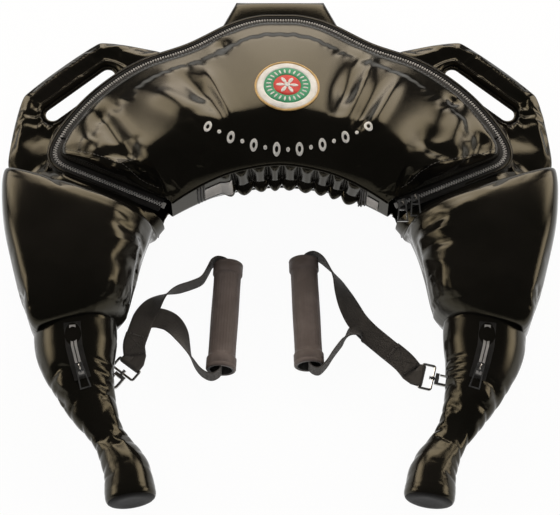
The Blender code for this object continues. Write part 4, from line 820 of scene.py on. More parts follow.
def makeWing(side):
    flip, sample = flipFor(side), 0.1
    outer, inner = wingEnds(0)
    far, near = wingEnds(sample)
    run = ((far + near) / 2 - (outer + inner) / 2).length / sample
    first = wing["hemLength"] / run
    rings = [(first * (1 - q) + 0.001, wing["hemStep"] * (1 - math.sqrt(max(1 - q ** 2, 0)))) for q in wing["hemRings"]]
    rings += [(first + (1 - first) * k / (wing["rings"] - 1), 0) for k in range(wing["rings"])]
    grid = []
    for place, inset in rings:
        ring = wingRing(place, inset)
        middle = sum((p for p, _ in ring), Vector()) / len(ring)
        depth = wing["pucker"] * math.exp(-place * run / wing["puckerReach"])
        shelf = min(max((place - wing["rollFrom"]) / (1 - wing["rollFrom"]), 0), 1)
        roll = wing["zipRoll"][side] * math.sin(math.pi * min(shelf, 0.985)) ** 0.75
        for j, (p, t) in enumerate(ring):
            if p.z > 0.004:
                p += (p - middle).normalized() * depth * pucker(j / len(ring), wing["seeds"][side])
            if j <= wing["topSteps"]:
                p.z += roll * smoothStep(*wing["rollStart"], t) * (1 - smoothStep(*wing["rollStop"], t))
        grid.append([flip(p) for p, _ in ring])
    piece = gridPiece("wing_skin_" + side, grid, wrapColumns=True)
    capEnds(piece, grid, (-1,))
    tidyNormals(piece)
    return piece


for side in sides:
    skin = makeWing(side)
    around = wing["topSteps"] + wing["floorSteps"] + 2
    total = len(skin.data.vertices)
    stuff(skin, lambda p, k: p.z < 0.006 or k < 12 * around or k > total - 14 * around, wing["stuffing"])
    press(skin, wing["creases"][side], 0.045)
    soften(skin)
    dress(skin, "vinyl", "bag", ("wing_" + side, "wing_filling_" + side))
print("wings made")

# Horns: the tapered handles
horn = {
    "top": (0.226, -0.100), "tip": (0.159, -0.3041),
    "line": ((0, 0), (0.05, 0.23), (0.18, 0.39), (0.36, 0.54), (0.66, 0.715), (0.92, 0.87), (1, 1)),
    "halfWidth": 0.048,
    "widths": ((0, 0.93), (0.20, 0.92), (0.37, 0.73), (0.51, 0.54), (0.68, 0.37), (0.86, 0.50), (1, 0.57)),
    "height": 0.084,
    "heights": ((0, 0.98), (0.20, 0.93), (0.37, 0.78), (0.51, 0.62), (0.68, 0.48), (0.86, 0.57), (1, 0.62)),
    "lift": 0.008, "lifts": ((0, 0.35), (0.22, 0.40), (0.51, 0.90), (0.68, 1), (0.86, 0.10), (1, 0)),
    "rings": 120, "sides": 60, "ruck": 0.0015, "rucks": 15, "seeds": {"left": 4.4, "right": 8.6},
    "edges": ((1, 0, 0.25, 0.45), (0.7, math.pi, 0.2, 0.35)), "ruckStart": (0.28, 0.45), "ruckStop": (0.88, 0.97),
    "end": ((0.004, 0.0), (0.0075, 0.0015), (0.0095, 0.005), (0.0100, 0.010), (0.0092, 0.016)), "endRings": 1,
    "stuffing": {"slack": 0.012, "pressure": 3, "cap": 0.0015},
    "creases": {
        "left": ((((-0.202, -0.164), (-0.184, -0.167)), -0.0016, 0.0022, False),
                 (((-0.202, -0.176), (-0.184, -0.179)), -0.0018, 0.0022, False),
                 (((-0.203, -0.189), (-0.185, -0.193)), -0.0016, 0.0024, False),
                 (((-0.202, -0.198), (-0.185, -0.202)), -0.0012, 0.0020, False),
                 (((-0.252, -0.188), (-0.238, -0.175), (-0.222, -0.178), (-0.208, -0.197)), -0.0036, 0.0040, False),
                 (((-0.240, -0.188), (-0.221, -0.201)), 0.0026, 0.0036, True),
                 (((-0.246, -0.201), (-0.226, -0.214)), -0.0022, 0.0040, False),
                 (((-0.208, -0.150), (-0.212, -0.190)), -0.0018, 0.0050, False)),
        "right": ((((0.179, -0.159), (0.201, -0.161)), -0.0014, 0.0020, False),
                  (((0.178, -0.168), (0.201, -0.170)), -0.0018, 0.0020, False),
                  (((0.179, -0.176), (0.200, -0.178)), -0.0018, 0.0020, False),
                  (((0.180, -0.183), (0.199, -0.186)), -0.0012, 0.0018, False),
                  (((0.204, -0.196), (0.214, -0.183), (0.230, -0.193), (0.240, -0.212)), -0.0036, 0.0040, False),
                  (((0.213, -0.192), (0.227, -0.210)), 0.0030, 0.0036, True),
                  (((0.206, -0.202), (0.222, -0.219)), -0.0024, 0.0040, False),
                  (((0.179, -0.206), (0.194, -0.216)), -0.0020, 0.0045, False),
                  (((0.164, -0.238), (0.186, -0.252)), -0.0016, 0.0028, True)),
    },
}


def makeHornLine():
    (tx, ty), (ex, ey) = horn["top"], horn["tip"]
    return smoothLine([Vector((tx + (ex - tx) * a, ty + (ey - ty) * b, 0)) for a, b in horn["line"]], 97)


hornLine = makeHornLine()


def hornFrame(place):
    last = len(hornLine) - 1
    p = splineAt(hornLine, min(max(place, 0), 1) * last)
    near, far = max(place - 0.02, 0), min(place + 0.02, 1)
    ahead = (splineAt(hornLine, far * last) - splineAt(hornLine, near * last)).normalized()
    return p, ahead, Vector((-ahead.y, ahead.x, 0))


def hornPoint(place, angle, shrink=0.0, reach=0.0):
    p, ahead, side = hornFrame(place)
    half = horn["halfWidth"] * shareAt(horn["widths"], place) - shrink
    low = horn["lift"] * shareAt(horn["lifts"], place) + shrink
    top = horn["height"] * shareAt(horn["heights"], place) - shrink
    level = (low + top) / 2 + (top - low) / 2 * math.sin(angle)
    return p + ahead * reach + side * half * math.cos(angle) + up * level


def makeHorn(side):
    flip = flipFor(side)
    angles = [2 * math.pi * k / horn["sides"] for k in range(horn["sides"])]
    rings = []
    for k in range(horn["rings"]):
        place = k / (horn["rings"] - 1)
        _, _, across = hornFrame(place)
        ring = []
        for a in angles:
            turn = abs(math.atan2(math.sin(a), math.cos(a)))
            edge = sum(share * math.exp(-((abs(turn - start) - off) / wide) ** 2)
                       for share, start, off, wide in horn["edges"])
            span = smoothStep(*horn["ruckStart"], place) * (1 - smoothStep(*horn["ruckStop"], place))
            wander = noise.noise(Vector((place * 6, math.cos(a), horn["seeds"][side]))) * 2.2
            fold = abs(math.sin(math.pi * horn["rucks"] * place + 1.6 * math.sin(a) + wander)) ** 0.6 - 0.6
            p = hornPoint(place, a)
            outward = across * math.cos(a) + up * math.sin(a)
            ring.append(flip(p + outward * horn["ruck"] * fold * edge * span))
        rings.append(ring)
    for reach, shrink in horn["end"]:
        rings.append([flip(hornPoint(1, a, shrink, reach)) for a in angles])
    piece = gridPiece("horn_skin_" + side, rings, wrapColumns=True)
    capEnds(piece, rings, (-1,))
    tidyNormals(piece)
    return piece


def heldHorn(p, k):
    place = k // horn["sides"] / (horn["rings"] - 1)
    underZip = 0.09 < place < 0.44 and p.z > 0.05
    return k < 3 * horn["sides"] or place > 0.985 or p.z < 0.010 or underZip


for side in sides:
    skin = makeHorn(side)
    stuff(skin, heldHorn, horn["stuffing"])
    press(skin, horn["creases"][side], 0.030)
    soften(skin)
    dress(skin, "vinyl", "bag", ("horn_" + side, "horn_core_" + side, "horn_cap_" + side))
    skin.data.materials.append(materials["hornEnd"])
    for face in skin.data.polygons:
        if min(face.vertices) >= (horn["rings"] + horn["endRings"]) * horn["sides"]:
            face.material_index = 1
print("horns made")

# Side flanges: flat ears with a hand slot
flange = {
    "tip": (1.149, 0.569), "shoulder": (0.828, 0.968), "root": (0.527, 0.899), "slot": (0.901, 0.585),
    "slotLength": 0.108, "slotWidth": 0.026, "slotTurn": math.radians(-41), "low": 0.026, "thick": 0.008,
    "around": 240, "steps": 24, "puff": 0.0015, "roll": 0.0046, "rollAt": 0.66, "rollWide": 0.24, "lip": 0.0030,
    "lipAt": 0.10, "lipWide": 0.07, "fullReach": 0.036, "underShare": 0.4, "fillet": 0.018,
    "pleats": 4, "pleat": 0.0020, "pleatFrom": 0.008, "pleatTo": 0.034, "fan": (-1.75, 0.55), "tuckTo": 0.84,
    "spread": 0.0055, "binding": 0.0024, "bindingIn": 0.0021,
    "stuffing": {"slack": 0.015, "pressure": 2, "cap": 0.0015},
}


def onPouch(shares):
    return Vector((pouch["halfWidth"] * shares[0], pouch["cornerY"] + pouch["rise"] * shares[1], 0))


def slotRing(count, grow=0.0):
    along = Vector((math.cos(flange["slotTurn"]), math.sin(flange["slotTurn"]), 0))
    across = Vector((-along.y, along.x, 0))
    centre = onPouch(flange["slot"])
    radius = flange["slotWidth"] / 2 + grow
    reach = flange["slotLength"] / 2 - flange["slotWidth"] / 2
    total = 4 * reach + 2 * math.pi * radius
    made = []
    for k in range(count):
        d = total * k / count
        if d < 2 * reach:
            made.append((centre + along * (d - reach) - across * radius, -across))
        elif d < 2 * reach + math.pi * radius:
            a = -math.pi / 2 + (d - 2 * reach) / radius
            normal = along * math.cos(a) + across * math.sin(a)
            made.append((centre + along * reach + normal * radius, normal))
        elif d < 4 * reach + math.pi * radius:
            made.append((centre + along * (reach - (d - 2 * reach - math.pi * radius)) + across * radius, across))
        else:
            a = math.pi / 2 + (d - 4 * reach - math.pi * radius) / radius
            normal = along * math.cos(a) + across * math.sin(a)
            made.append((centre - along * reach + normal * radius, normal))
    return made


def flangeOutline():
    root = offsetLine(portion(zipLine, foldAt / 2, zipTotal - foldAt / 2, 240), -pouch["wallOut"] - 0.0003)
    start = onPouch(flange["root"])
    inner = [p for p in root if p.x > start.x]
    outerEnd, _ = wingEnds(1)
    out = Vector((flange["spread"], 0, 0))
    corners = [start, onPouch(flange["shoulder"]), onPouch(flange["tip"]) + out * 0.4, outerEnd + out,
               wingEnds(flange["tuckTo"])[0] - out * 2]
    dense = smoothLine(corners, 60)
    straightEdge = portion(corners, 0, lengthsOf(corners)[-1], 60)
    edge = [a.lerp(b, 0.35) for a, b in zip(straightEdge, dense)]
    return edge + inner[::-1]


def rayToOutline(p, direction, outline):
    best = None
    for a, b in zip(outline, outline[1:] + outline[:1]):
        e = b - a
        cross = direction.x * e.y - direction.y * e.x
        if abs(cross) < 1e-9:
            continue
        w = a - p
        t = (w.x * e.y - w.y * e.x) / cross
        s = (w.x * direction.y - w.y * direction.x) / cross
        if t > 0 and -1e-6 <= s <= 1 + 1e-6 and (best is None or t < best[0]):
            best = (t, p + direction * t)
    return best[1] if best else p


def wingEndHeight(spot):
    outer, inner = wingEnds(1)
    outer += (inner - outer).normalized() * (wing["swellRoom"] + wing["shoulderIn"])
    span = inner - outer
    t = (spot - outer).dot(span) / span.length_squared
    away = (outer - spot).dot(outOfStraight)
    top, seam = wingHeight(1), wingHeight(1) * wing["seamShare"]
    kept = wingKept(1, min(max(t, 0), 1), seam, top)
    power = 2 / (wing["outerFullness"] - 2)
    across = min(max(2 * t - 1, -1), 1)
    arch = (1 - abs(across) ** (2 / power)) ** (power / 2)
    return seam + (top - seam) * kept * arch, away, t


def pleatLift(spot):
    along = Vector((math.cos(flange["slotTurn"]), math.sin(flange["slotTurn"]), 0))
    end = onPouch(flange["slot"]) + along * (flange["slotLength"] - flange["slotWidth"]) / 2
    d = spot - end
    reach = d.length
    if reach < 1e-6:
        return 0
    low, high = flange["fan"]
    turn = math.atan2(d.y, d.x)
    place = (turn - low) / (high - low)
    if not 0 < place < 1:
        return 0
    start, stop = flange["pleatFrom"], flange["pleatTo"]
    run = smoothStep(start, start + 0.012, reach) * (1 - smoothStep(stop * 0.5, stop, reach))
    ridge = math.sin(math.pi * (2 * flange["pleats"] * place + 9 * (reach - 0.02)))
    return flange["pleat"] * ridge * run * math.sin(math.pi * place) ** 0.5


def makeFlange(side):
    flip = flipFor(side)
    outline = flangeOutline()
    ring = slotRing(flange["around"])
    middle = flange["low"] + flange["thick"] / 2
    half = flange["thick"] / 2
    top, low = [], []
    spots = [(p, rayToOutline(p, n, outline)) for p, n in ring]
    for i in range(flange["steps"]):
        t = i / (flange["steps"] - 1)
        f = 0.5 - 0.5 * math.cos(math.pi * t)
        edge = math.sqrt(max(1 - abs(2 * f - 1) ** 9, 0))
        rowTop, rowLow = [], []
        for p, q in spots:
            spot = p.lerp(q, f)
            wide = min((q - p).length / flange["fullReach"], 1)
            swell = flange["roll"] * math.exp(-((f - flange["rollAt"]) / flange["rollWide"]) ** 2)
            lip = flange["lip"] * math.exp(-((f - flange["lipAt"]) / flange["lipWide"]) ** 2)
            swell += lip + flange["puff"] * math.sin(math.pi * f)
            rise = edge * (half + swell * wide)
            height, away, t = wingEndHeight(spot)
            near = 1 - smoothStep(0.0, flange["fillet"], away)
            if t > -0.05:
                rise += max(height - middle - rise, 0) * near * edge
            rise += pleatLift(spot) * edge
            rowTop.append(flip(Vector((spot.x, spot.y, middle + rise))))
            rowLow.append(flip(Vector((spot.x, spot.y, middle - edge * (half + swell * wide * flange["underShare"])))))
        top.append(rowTop)
        low.append(rowLow)
    piece = gridPiece("flange_skin_" + side, top + low[::-1], wrapRows=True, wrapColumns=True)
    tidyNormals(piece)
    return piece


for side in sides:
    skin = makeFlange(side)
    around, rows = flange["around"], flange["steps"]
    stuff(skin, lambda p, k: not 4 <= (k // around) % rows <= rows - 5, flange["stuffing"])
    soften(skin)
    dress(skin, "vinyl", "bag", ("slot_flange_" + side,))
    flip = flipFor(side)
    middle = flange["low"] + flange["thick"] / 2
    path = [flip(Vector((p.x, p.y, middle))) for p, _ in slotRing(120, -flange["bindingIn"])]
    binding = tube("slot_edge_" + side, path, flange["binding"], closed=True)
    dress(binding, "vinyl", "bag", ("slot_binding_" + side,))

# Top flange
topFlange = {"depth": 0.0434, "half": 0.053, "rootHalf": 0.088, "columns": 60, "rows": 18, "puff": 0.0065,
             "puffSpan": (0.06, 0.5), "crown": 0.0012}


def makeTopFlange():
    line = offsetLine(zipLine, -pouch["wallOut"] - 0.0003)
    root = [p for p in line if abs(p.x) < topFlange["rootHalf"] and p.y > pouch["cornerY"]]
    root = portion(root, 0, lengthsOf(root)[-1], topFlange["columns"])
    top = pouch["cornerY"] + pouch["rise"] + pouch["wallOut"] + topFlange["depth"]
    middle, half = flange["low"] + flange["thick"] / 2, flange["thick"] / 2
    upper, lower = [], []
    for i in range(topFlange["rows"]):
        f = i / (topFlange["rows"] - 1)
        rowUp, rowLow = [], []
        for j, p in enumerate(root):
            u = j / (len(root) - 1)
            q = Vector((topFlange["half"] * (2 * u - 1), top, 0))
            spot = p.lerp(q, f)
            edge = math.sqrt(max(1 - abs(2 * f - 1) ** 6, 0)) * math.sqrt(max(1 - abs(2 * u - 1) ** 10, 0))
            fall = topFlange["puff"] * (1 - smoothStep(*topFlange["puffSpan"], f))
            fall += topFlange["crown"] * math.sin(math.pi * f)
            rowUp.append(Vector((spot.x, spot.y, middle + (half + fall) * edge)))
            rowLow.append(Vector((spot.x, spot.y, middle - half * edge)))
        upper.append(rowUp)
        lower.append(rowLow)
    piece = gridPiece("topFlangeSkin", upper + lower[::-1], wrapRows=True)
    tidyNormals(piece)
    return piece


topFlangeSkin = makeTopFlange()
dress(topFlangeSkin, "vinyl", "bag", ("top_flange",))
print("flanges made")

# The gathered wall round the neck, with its sewn elastic
gather = {"waves": 9, "wave": 0.0118, "steps": 560, "thickness": 0.0014, "start": (0.21, 0.29), "end": (0.85, 0.90),
          "knee": 0.46, "stitchAt": 0.37, "frill": 0.0045, "slant": 0.55, "bandSpans": ((0.155, 0.285), (0.90, 0.955)),
          "bandLow": 0.42, "bandHigh": 0.17, "tacks": (0.128, 0.142, 0.156, 0.868, 0.880, 0.892), "bead": 0.0011,
          "tackLevels": (0.02, 0.08, 0.15, 0.22, 0.29, 0.36, 0.42, 0.46), "tack": 0.0010,
          "stitch": (0.0034, 0.0025, 0.00045),
          "undercutShare": 0.95, "hem": 0.004, "tightWide": 0.014, "tight": 0.75, "groove": 0.0022, "drop": 0.0028}
gatherLevels = [0, 0.02, 0.05, 0.09, 0.13, 0.17, 0.21, 0.25, 0.29, 0.325, 0.355, 0.37, 0.385, 0.405, 0.43, 0.45, 0.462,
                0.470, 0.478, 0.49, 0.52, 0.60, 0.70, 0.80, 0.90, 1.0]
neckPath = portion(neckLine, pouch["endTrim"], neckTotal - pouch["endTrim"], gather["steps"])


def neckInward(k):
    ahead = (neckPath[min(k + 2, len(neckPath) - 1)] - neckPath[max(k - 2, 0)]).normalized()
    return Vector((-ahead.y, ahead.x, 0))


def gatherPoint(k, w, proud=0.0):
    u = k / (len(neckPath) - 1)
    knee, stitch = gather["knee"], gather["stitchAt"]
    z = (seamHeight(u) - 0.0003) * (1 - w) + gather["hem"] * w
    under = pouch["neckUndercut"] * smoothStep(knee, 1.0, w) * gather["undercutShare"]
    span = smoothStep(*gather["start"], u) * (1 - smoothStep(*gather["end"], u))
    wander = noise.noise(Vector((u * 7, 0.4, 3.1))) * 1.1 + noise.noise(Vector((u * 5, w * 2.5, 8.2))) * 0.35
    phase = math.pi * (gather["waves"] / 0.66 * u + gather["slant"] * w * (2 * u - 1) * 2) + wander
    wave = abs(math.sin(phase)) ** 0.6
    drawn = math.exp(-((w - stitch) / gather["tightWide"]) ** 2)
    reach = smoothStep(0.0, 0.04, w) * (1 - smoothStep(knee, knee + 0.03, w)) * span
    size = 0.7 + 0.3 * noise.noise(Vector((u * 20, 1.7, 2.2)))
    bulge = gather["wave"] * (wave - 0.55) * reach * (1 - gather["tight"] * drawn) * size
    frill = gather["frill"] * smoothStep(stitch, knee - 0.02, w) * (1 - smoothStep(knee, knee + 0.035, w)) * span
    groove = -gather["groove"] * drawn * span
    drop = gather["drop"] * wave * smoothStep(stitch, knee, w) * (1 - smoothStep(knee + 0.02, knee + 0.1, w)) * span
    return Vector((neckPath[k].x, neckPath[k].y, z - drop)) + neckInward(k) * (under - bulge - frill - groove - proud)


def makeGather():
    grid = [[gatherPoint(k, w) for k in range(len(neckPath))] for w in gatherLevels]
    piece = gridPiece("neckRuffle", grid)
    tidyNormals(piece)
    middle = piece.data.polygons[len(piece.data.polygons) // 2]
    if middle.normal.y > 0:
        piece.data.flip_normals()
    return piece


def neckSpan(start, end):
    last = len(neckPath) - 1
    return range(int(start * last), int(end * last) + 1)


neckRuffle = makeGather()
thicken(neckRuffle, gather["thickness"])
dress(neckRuffle, "vinyl", "bag", ("neck_gather",))

bands = []
for start, end in gather["bandSpans"]:
    rows = []
    for k in neckSpan(start, end):
        high = gatherPoint(k, gather["bandHigh"], 0.0012)
        low = gatherPoint(k, gather["bandLow"], 0.0012)
        ring = [high.lerp(low, f / 8) - neckInward(k) * 0.0007 * (f % 2) for f in range(9)]
        rows.append(ring + [q + neckInward(k) * 0.0008 for q in reversed(ring)])
    band = gridPiece("elastic_%d" % len(bands), rows, wrapColumns=True)
    capEnds(band, rows)
    tidyNormals(band)
    bands.append(band)
neckElastic = fuse("neckElastic", bands)
dress(neckElastic, "elastic", "bag", ("neck_elastic",))

line = [gatherPoint(k, gather["stitchAt"], 0.0004) for k in neckSpan(gather["start"][0], gather["end"][1])]
dress(stitchRow("neckStitches", line, *gather["stitch"]), "thread", "bag")
tacks = []
for u in gather["tacks"]:
    k = int(u * (len(neckPath) - 1))
    tacks.append(tube("tack", [gatherPoint(k, w, 0.0009) for w in gather["tackLevels"]], gather["tack"], 6))
dress(fuse("barTacks", tacks), "thread", "bag")
line = [gatherPoint(k, 0, 0.0006) for k in range(2, len(neckPath) - 2)]
dress(tube("neckBead", line, gather["bead"]), "vinyl", "bag")
print("gather made")

# Zips
zips = {"pitch": 0.0031, "gap": 0.0010, "tooth": 0.0019, "thick": 0.0018, "tape": 0.0055, "tapeThick": 0.0010,
        "tapeInner": 0.0036, "step": 0.0021, "stopLength": 0.0035, "clear": 0.0003, "tapeUnder": 0.0012, "seat": 0.0006,
        "toothSection": ((0.0, 0.62, 0.55), (0.30, 0.62, 0.72), (0.45, 0.40, 0.72), (0.9, 0.42, 0.9), (1.0, 0.40, 0.6))}


def bandPiece(name, path, near, far, low, high):
    section = [(near, low), (near, high), ((near + far) / 2, high + 0.0001), (far, high), (far, low)]
    lines = [offsetLine(path, s) for s, _ in section]
    grid = [[Vector((line[k].x, line[k].y, z + p.z)) for line, (_, z) in zip(lines, section)] for k, p in enumerate(path)]
    piece = gridPiece(name, grid, wrapColumns=True)
    capEnds(piece, grid)
    tidyNormals(piece)
    return piece


def teethPiece(name, path, sign, shifted=False):
    total = lengthsOf(path)[-1]
    count = max(int(total / zips["pitch"]), 2)
    spots = portion(path, 0, total, 4 * count + 1)
    verts, faces = [], []
    reach, half = zips["tooth"], zips["thick"] / 2
    for k in range(count):
        p = spots[4 * k + (1 if shifted else 3)]
        ahead = (spots[min(4 * k + 4, 4 * count)] - spots[4 * k]).normalized()
        across = Vector((ahead.y, -ahead.x, 0)).normalized() * sign
        rise = across.cross(ahead).normalized()
        rise = rise if rise.z > 0 else -rise
        near = p + across * (zips["gap"] / 2 - zips["seat"])
        faces += stackFaces(len(verts), len(zips["toothSection"]), 8)
        for f, wide, tall in zips["toothSection"]:
            a, b = ahead * zips["pitch"] * wide * 0.62, rise * half * tall
            c = near + across * f * (reach + zips["seat"])
            verts += [c + a * 0.7 + b, c - a * 0.7 + b, c - a + b * 0.3, c - a - b * 0.3,
                      c - a * 0.7 - b, c + a * 0.7 - b, c + a - b * 0.3, c + a + b * 0.3]
    piece = meshPiece(name, verts, faces)
    tidyNormals(piece)
    return piece


def zipPath(start, end, z, steps=300):
    return [p + up * z for p in portion(zipLine, start, end, steps)]


stop, clear = zips["stopLength"], zips["clear"]
outerPath = zipPath(stop + clear, zipTotal - stop - clear, pouch["zipHeight"], 600)
near, far, half = zips["tapeInner"] - zips["tapeUnder"], zips["tapeInner"] + zips["tape"], zips["tapeThick"] / 2
dress(bandPiece("zipTapeOuter", outerPath, -near, -far, -half, half), "zipTape", "bag", ("zip_tape_outer",))
dress(teethPiece("zipTeethOuter", outerPath, -1), "zipTeeth", "bag", ("zip_teeth_outer",))
innerRuns = (("left", "bag", stop, foldAt - clear, 0),
             ("lid", "lid", foldAt + clear, zipTotal - foldAt - clear, zips["step"]),
             ("right", "bag", zipTotal - foldAt + clear, zipTotal - stop, 0))
for name, body, start, end, rise in innerRuns:
    path = zipPath(start, end, pouch["zipHeight"] + rise)
    band = bandPiece("zip_band_" + name, path, near, far, -half, half)
    dress(band, "zipTape", body, ("zip_tape_" + name,))
    dress(teethPiece("zip_row_" + name, path, 1, True), "zipTeeth", body, ("zip_teeth_" + name,))
print("zips made")

# Sewn work on the lid: a round badge of rings and petals, a row of loops and dots below it, the seam along the zip
badge = {"centre": (0.008, 0.140), "radius": 0.0365, "lift": 0.0011, "sides": 72, "petals": 6, "petalAt": 0.21,
         "petal": 0.0048, "spokes": 24, "spokeAt": (0.48, 0.66), "spoke": 0.0022, "hole": 0.0002,
         "rings": (("badgeRim", 0.94, 1.0, "patchGold"), ("badgeField", 0.72, 0.94, "patchPale"),
                   ("badgeBand", 0.42, 0.72, "patchGreen"), ("badgeHeart", 0.01, 0.42, "patchRed"))}
row = {"from": -0.080, "to": 0.098, "count": 15, "middle": 0.009, "level": 0.066, "sag": 0.021, "tall": 0.0060,
       "wide": 0.0042, "lift": 0.0010}
seam = {"inset": 0.0125, "trim": 0.012, "pitch": 0.0046, "length": 0.0032, "radius": 0.00042}
bpy.context.view_layer.update()
lidShape = BVHTree.FromObject(lidSkin, bpy.context.evaluated_depsgraph_get())


def onLid(x, y, lift):
    hit, normal, _, _ = lidShape.ray_cast(Vector((x, y, 0.3)), -up)
    return hit + (normal if normal.z > 0 else -normal) * lift


def patchPiece(name, spot, inner, outer, lift, sides, stretch=(1, 1), turn=0.0):
    steps, root = 5, -0.0004
    rings = [(inner, root)]
    for k in range(steps + 1):
        rings.append((inner + (outer - inner) * k / steps, lift * (1 - 0.35 * abs(2 * k / steps - 1) ** 4)))
    rings.append((outer, root))
    c, s = math.cos(turn), math.sin(turn)
    grid = []
    for radius, level in rings:
        ring = []
        for k in range(sides):
            a = 2 * math.pi * k / sides
            x, y = radius * stretch[0] * math.cos(a), radius * stretch[1] * math.sin(a)
            ring.append(onLid(spot[0] + x * c - y * s, spot[1] + x * s + y * c, level))
        grid.append(ring)
    piece = gridPiece(name, grid, wrapRows=True, wrapColumns=True)
    tidyNormals(piece)
    return piece


def foldWithLid(piece):
    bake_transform(piece)


def sewOn(piece, finish):
    dress(piece, finish)
    foldWithLid(piece)


radius, centre = badge["radius"], badge["centre"]
for name, inner, outer, finish in badge["rings"]:
    high = badge["lift"] * (1.5 if name == "badgeRim" else 1)
    sewOn(patchPiece(name, centre, inner * radius, outer * radius, high, badge["sides"]), finish)
hole, high = badge["hole"], badge["lift"] * 1.5
marks = [patchPiece("mark", centre, hole, badge["petal"] * 0.7, badge["lift"] * 1.6, 16)]
spokeReach = (badge["spokeAt"][1] - badge["spokeAt"][0]) / 2 * radius
spokeWide = badge["spoke"] / spokeReach / 2
petals = (badge["petals"], 0, badge["petalAt"], badge["petal"], 16, 0.45)
spokes = (badge["spokes"], 0.5, sum(badge["spokeAt"]) / 2, spokeReach, 8, spokeWide)
for count, shift, away, reach, around, wide in (petals, spokes):
    for k in range(count):
        a = 2 * math.pi * (k + shift) / count
        spot = (centre[0] + math.cos(a) * away * radius, centre[1] + math.sin(a) * away * radius)
        marks.append(patchPiece("mark", spot, hole, reach, high, around, (1, wide), a))
sewOn(fuse("badgeMarks", marks), "patchPale")
marks = []
for k in range(row["count"]):
    x = row["from"] + (row["to"] - row["from"]) * k / (row["count"] - 1)
    off = (x - row["middle"]) / (row["to"] - row["middle"])
    lean = math.atan(2 * row["sag"] * off / (row["to"] - row["middle"]))
    spot, wide, tall = (x, row["level"] + row["sag"] * off * off), row["wide"], row["tall"]
    inner, outer, around, stretch = (hole, wide * 0.5, 12, 1) if k % 2 else (tall * 0.45, tall, 24, wide / tall)
    marks.append(patchPiece("mark", spot, inner, outer, row["lift"], around, (stretch, 1), lean))
sewOn(fuse("lidRow", marks), "patchPale")
line = offsetLine(portion(zipLine, seam["trim"], zipTotal - seam["trim"], 500), seam["inset"])
stitches = stitchRow("lidSeam", [onLid(p.x, p.y, 0.0002) for p in line], seam["pitch"], seam["length"], seam["radius"])
dress(stitches, "thread")
foldWithLid(stitches)
foldWithLid(lidSkin)
print("badge and seam made")

# Straps: one loop of webbing from the eye through the grip, and the ribbed grips
strap = {
    "bar": {"left": (-0.16662, -0.14711), "right": (0.15631, -0.16047)},
    "heading": {"left": (0.615662, 0.788011), "right": (-0.970296, 0.241922)},
    "doubled": {"left": ((-0.1630, -0.1240), (-0.1590, -0.1080), (-0.1545, -0.0930)),
                "right": ((0.1370, -0.1440), (0.1190, -0.1275), (0.1020, -0.1120))},
    "upper": {"left": ((-0.1470, -0.0810), (-0.1380, -0.0720), (-0.1270, -0.0650), (-0.1140, -0.0600),
                       (-0.1000, -0.0550), (-0.0885, -0.0490), (-0.0822, -0.0380), (-0.0770, -0.0275), (-0.0690, -0.0240)),
              "right": ((0.0880, -0.0960), (0.0790, -0.0800), (0.0715, -0.0630), (0.0650, -0.0470), (0.0560, -0.0330),
                        (0.0460, -0.0215), (0.0360, -0.0178))},
    "lower": {"left": ((-0.1460, -0.0900), (-0.1350, -0.0905), (-0.1235, -0.0960), (-0.1145, -0.1077),
                       (-0.1077, -0.1234), (-0.0999, -0.1413), (-0.0896, -0.1580), (-0.0800, -0.1655), (-0.0720, -0.1655)),
              "right": ((0.0900, -0.1070), (0.0790, -0.1140), (0.0694, -0.1250), (0.0592, -0.1390), (0.0510, -0.1520),
                        (0.0420, -0.1600))},
    "upperTilt": {"left": (0.02, 0.45), "right": (0.15, 0.85)},
    "lowerTilt": {"left": (0.15, 0.75), "right": (0.02, 0.45)},
    "low": 0.0056, "width": 0.0245, "thick": 0.0017, "layerGap": 0.0005, "wire": 0.0015, "seat": 0.0003,
    "branchSteps": 64, "doubledSteps": 26, "ribs": 7, "rib": 0.00022,
    "foldGap": 0.0003, "foldHalf": 0.0007, "foldThick": 0.0013, "foldSpan": (2, 0.62), "foldWide": 1.02,
    "stitch": (0.0030, 0.0022, 0.00040), "stitchShare": 0.40, "stitchLift": 0.0009,
}
grip = {"centre": {"left": (-0.062, -0.094), "right": (0.0295, -0.089)}, "turn": {"left": -3, "right": 2.5},
        "length": 0.130, "radius": 0.0154, "waist": 0.0150, "belly": 0.0006, "collar": 0.0168, "collarLength": 0.015,
        "bore": 0.0141, "flutes": 30, "flute": 0.00038, "around": 120, "steps": 26, "flare": 0.0004,
        # how far in from the end, and how far under the collar's radius
        "collarSection": ((0, 0.0012), (0.0006, 0.0004), (0.0014, 0), (0.0042, 0), (0.0048, 0.0004), (0.0054, 0))}


def gripAxis(side):
    turn = math.radians(grip["turn"][side])
    return Vector((*grip["centre"][side], grip["collar"])), Vector((-math.sin(turn), math.cos(turn), 0))


def strapBranch(side, route, tilt, layer, end):
    centre, axis = gripAxis(side)
    sign = -1 if side == "left" else 1
    mouth = centre + axis * end * grip["length"] / 2
    inside = mouth - axis * end * grip["collarLength"]
    plan = [Vector((x, y, 0)) for x, y in strap["doubled"][side][-2:] + route]
    plan += [Vector((mouth.x, mouth.y, 0)), Vector((inside.x, inside.y, 0))]
    last = len(plan) - 2
    fine = last * 24
    dense = [splineAt(plan, 1 + (last - 1) * k / fine) for k in range(fine + 1)]
    steps = strap["branchSteps"]
    points = portion(dense, 0, lengthsOf(dense)[-1], steps)
    start, stop = tilt
    spots = []
    for k, p in enumerate(points):
        ahead = points[min(k + 1, steps - 1)] - points[max(k - 1, 0)]
        if k == 0:
            ahead = plan[2] - plan[0]
        level = Vector((ahead.y, -ahead.x, 0)).normalized() * sign
        tip = math.pi / 2 * smoothStep(start, stop, k / (steps - 1))
        rise = math.sin(tip)
        z = (strap["low"] + layer) * (1 - rise) + grip["collar"] * rise
        spots.append((Vector((p.x, p.y, z)), level * math.cos(tip) - up * rise))
    return spots


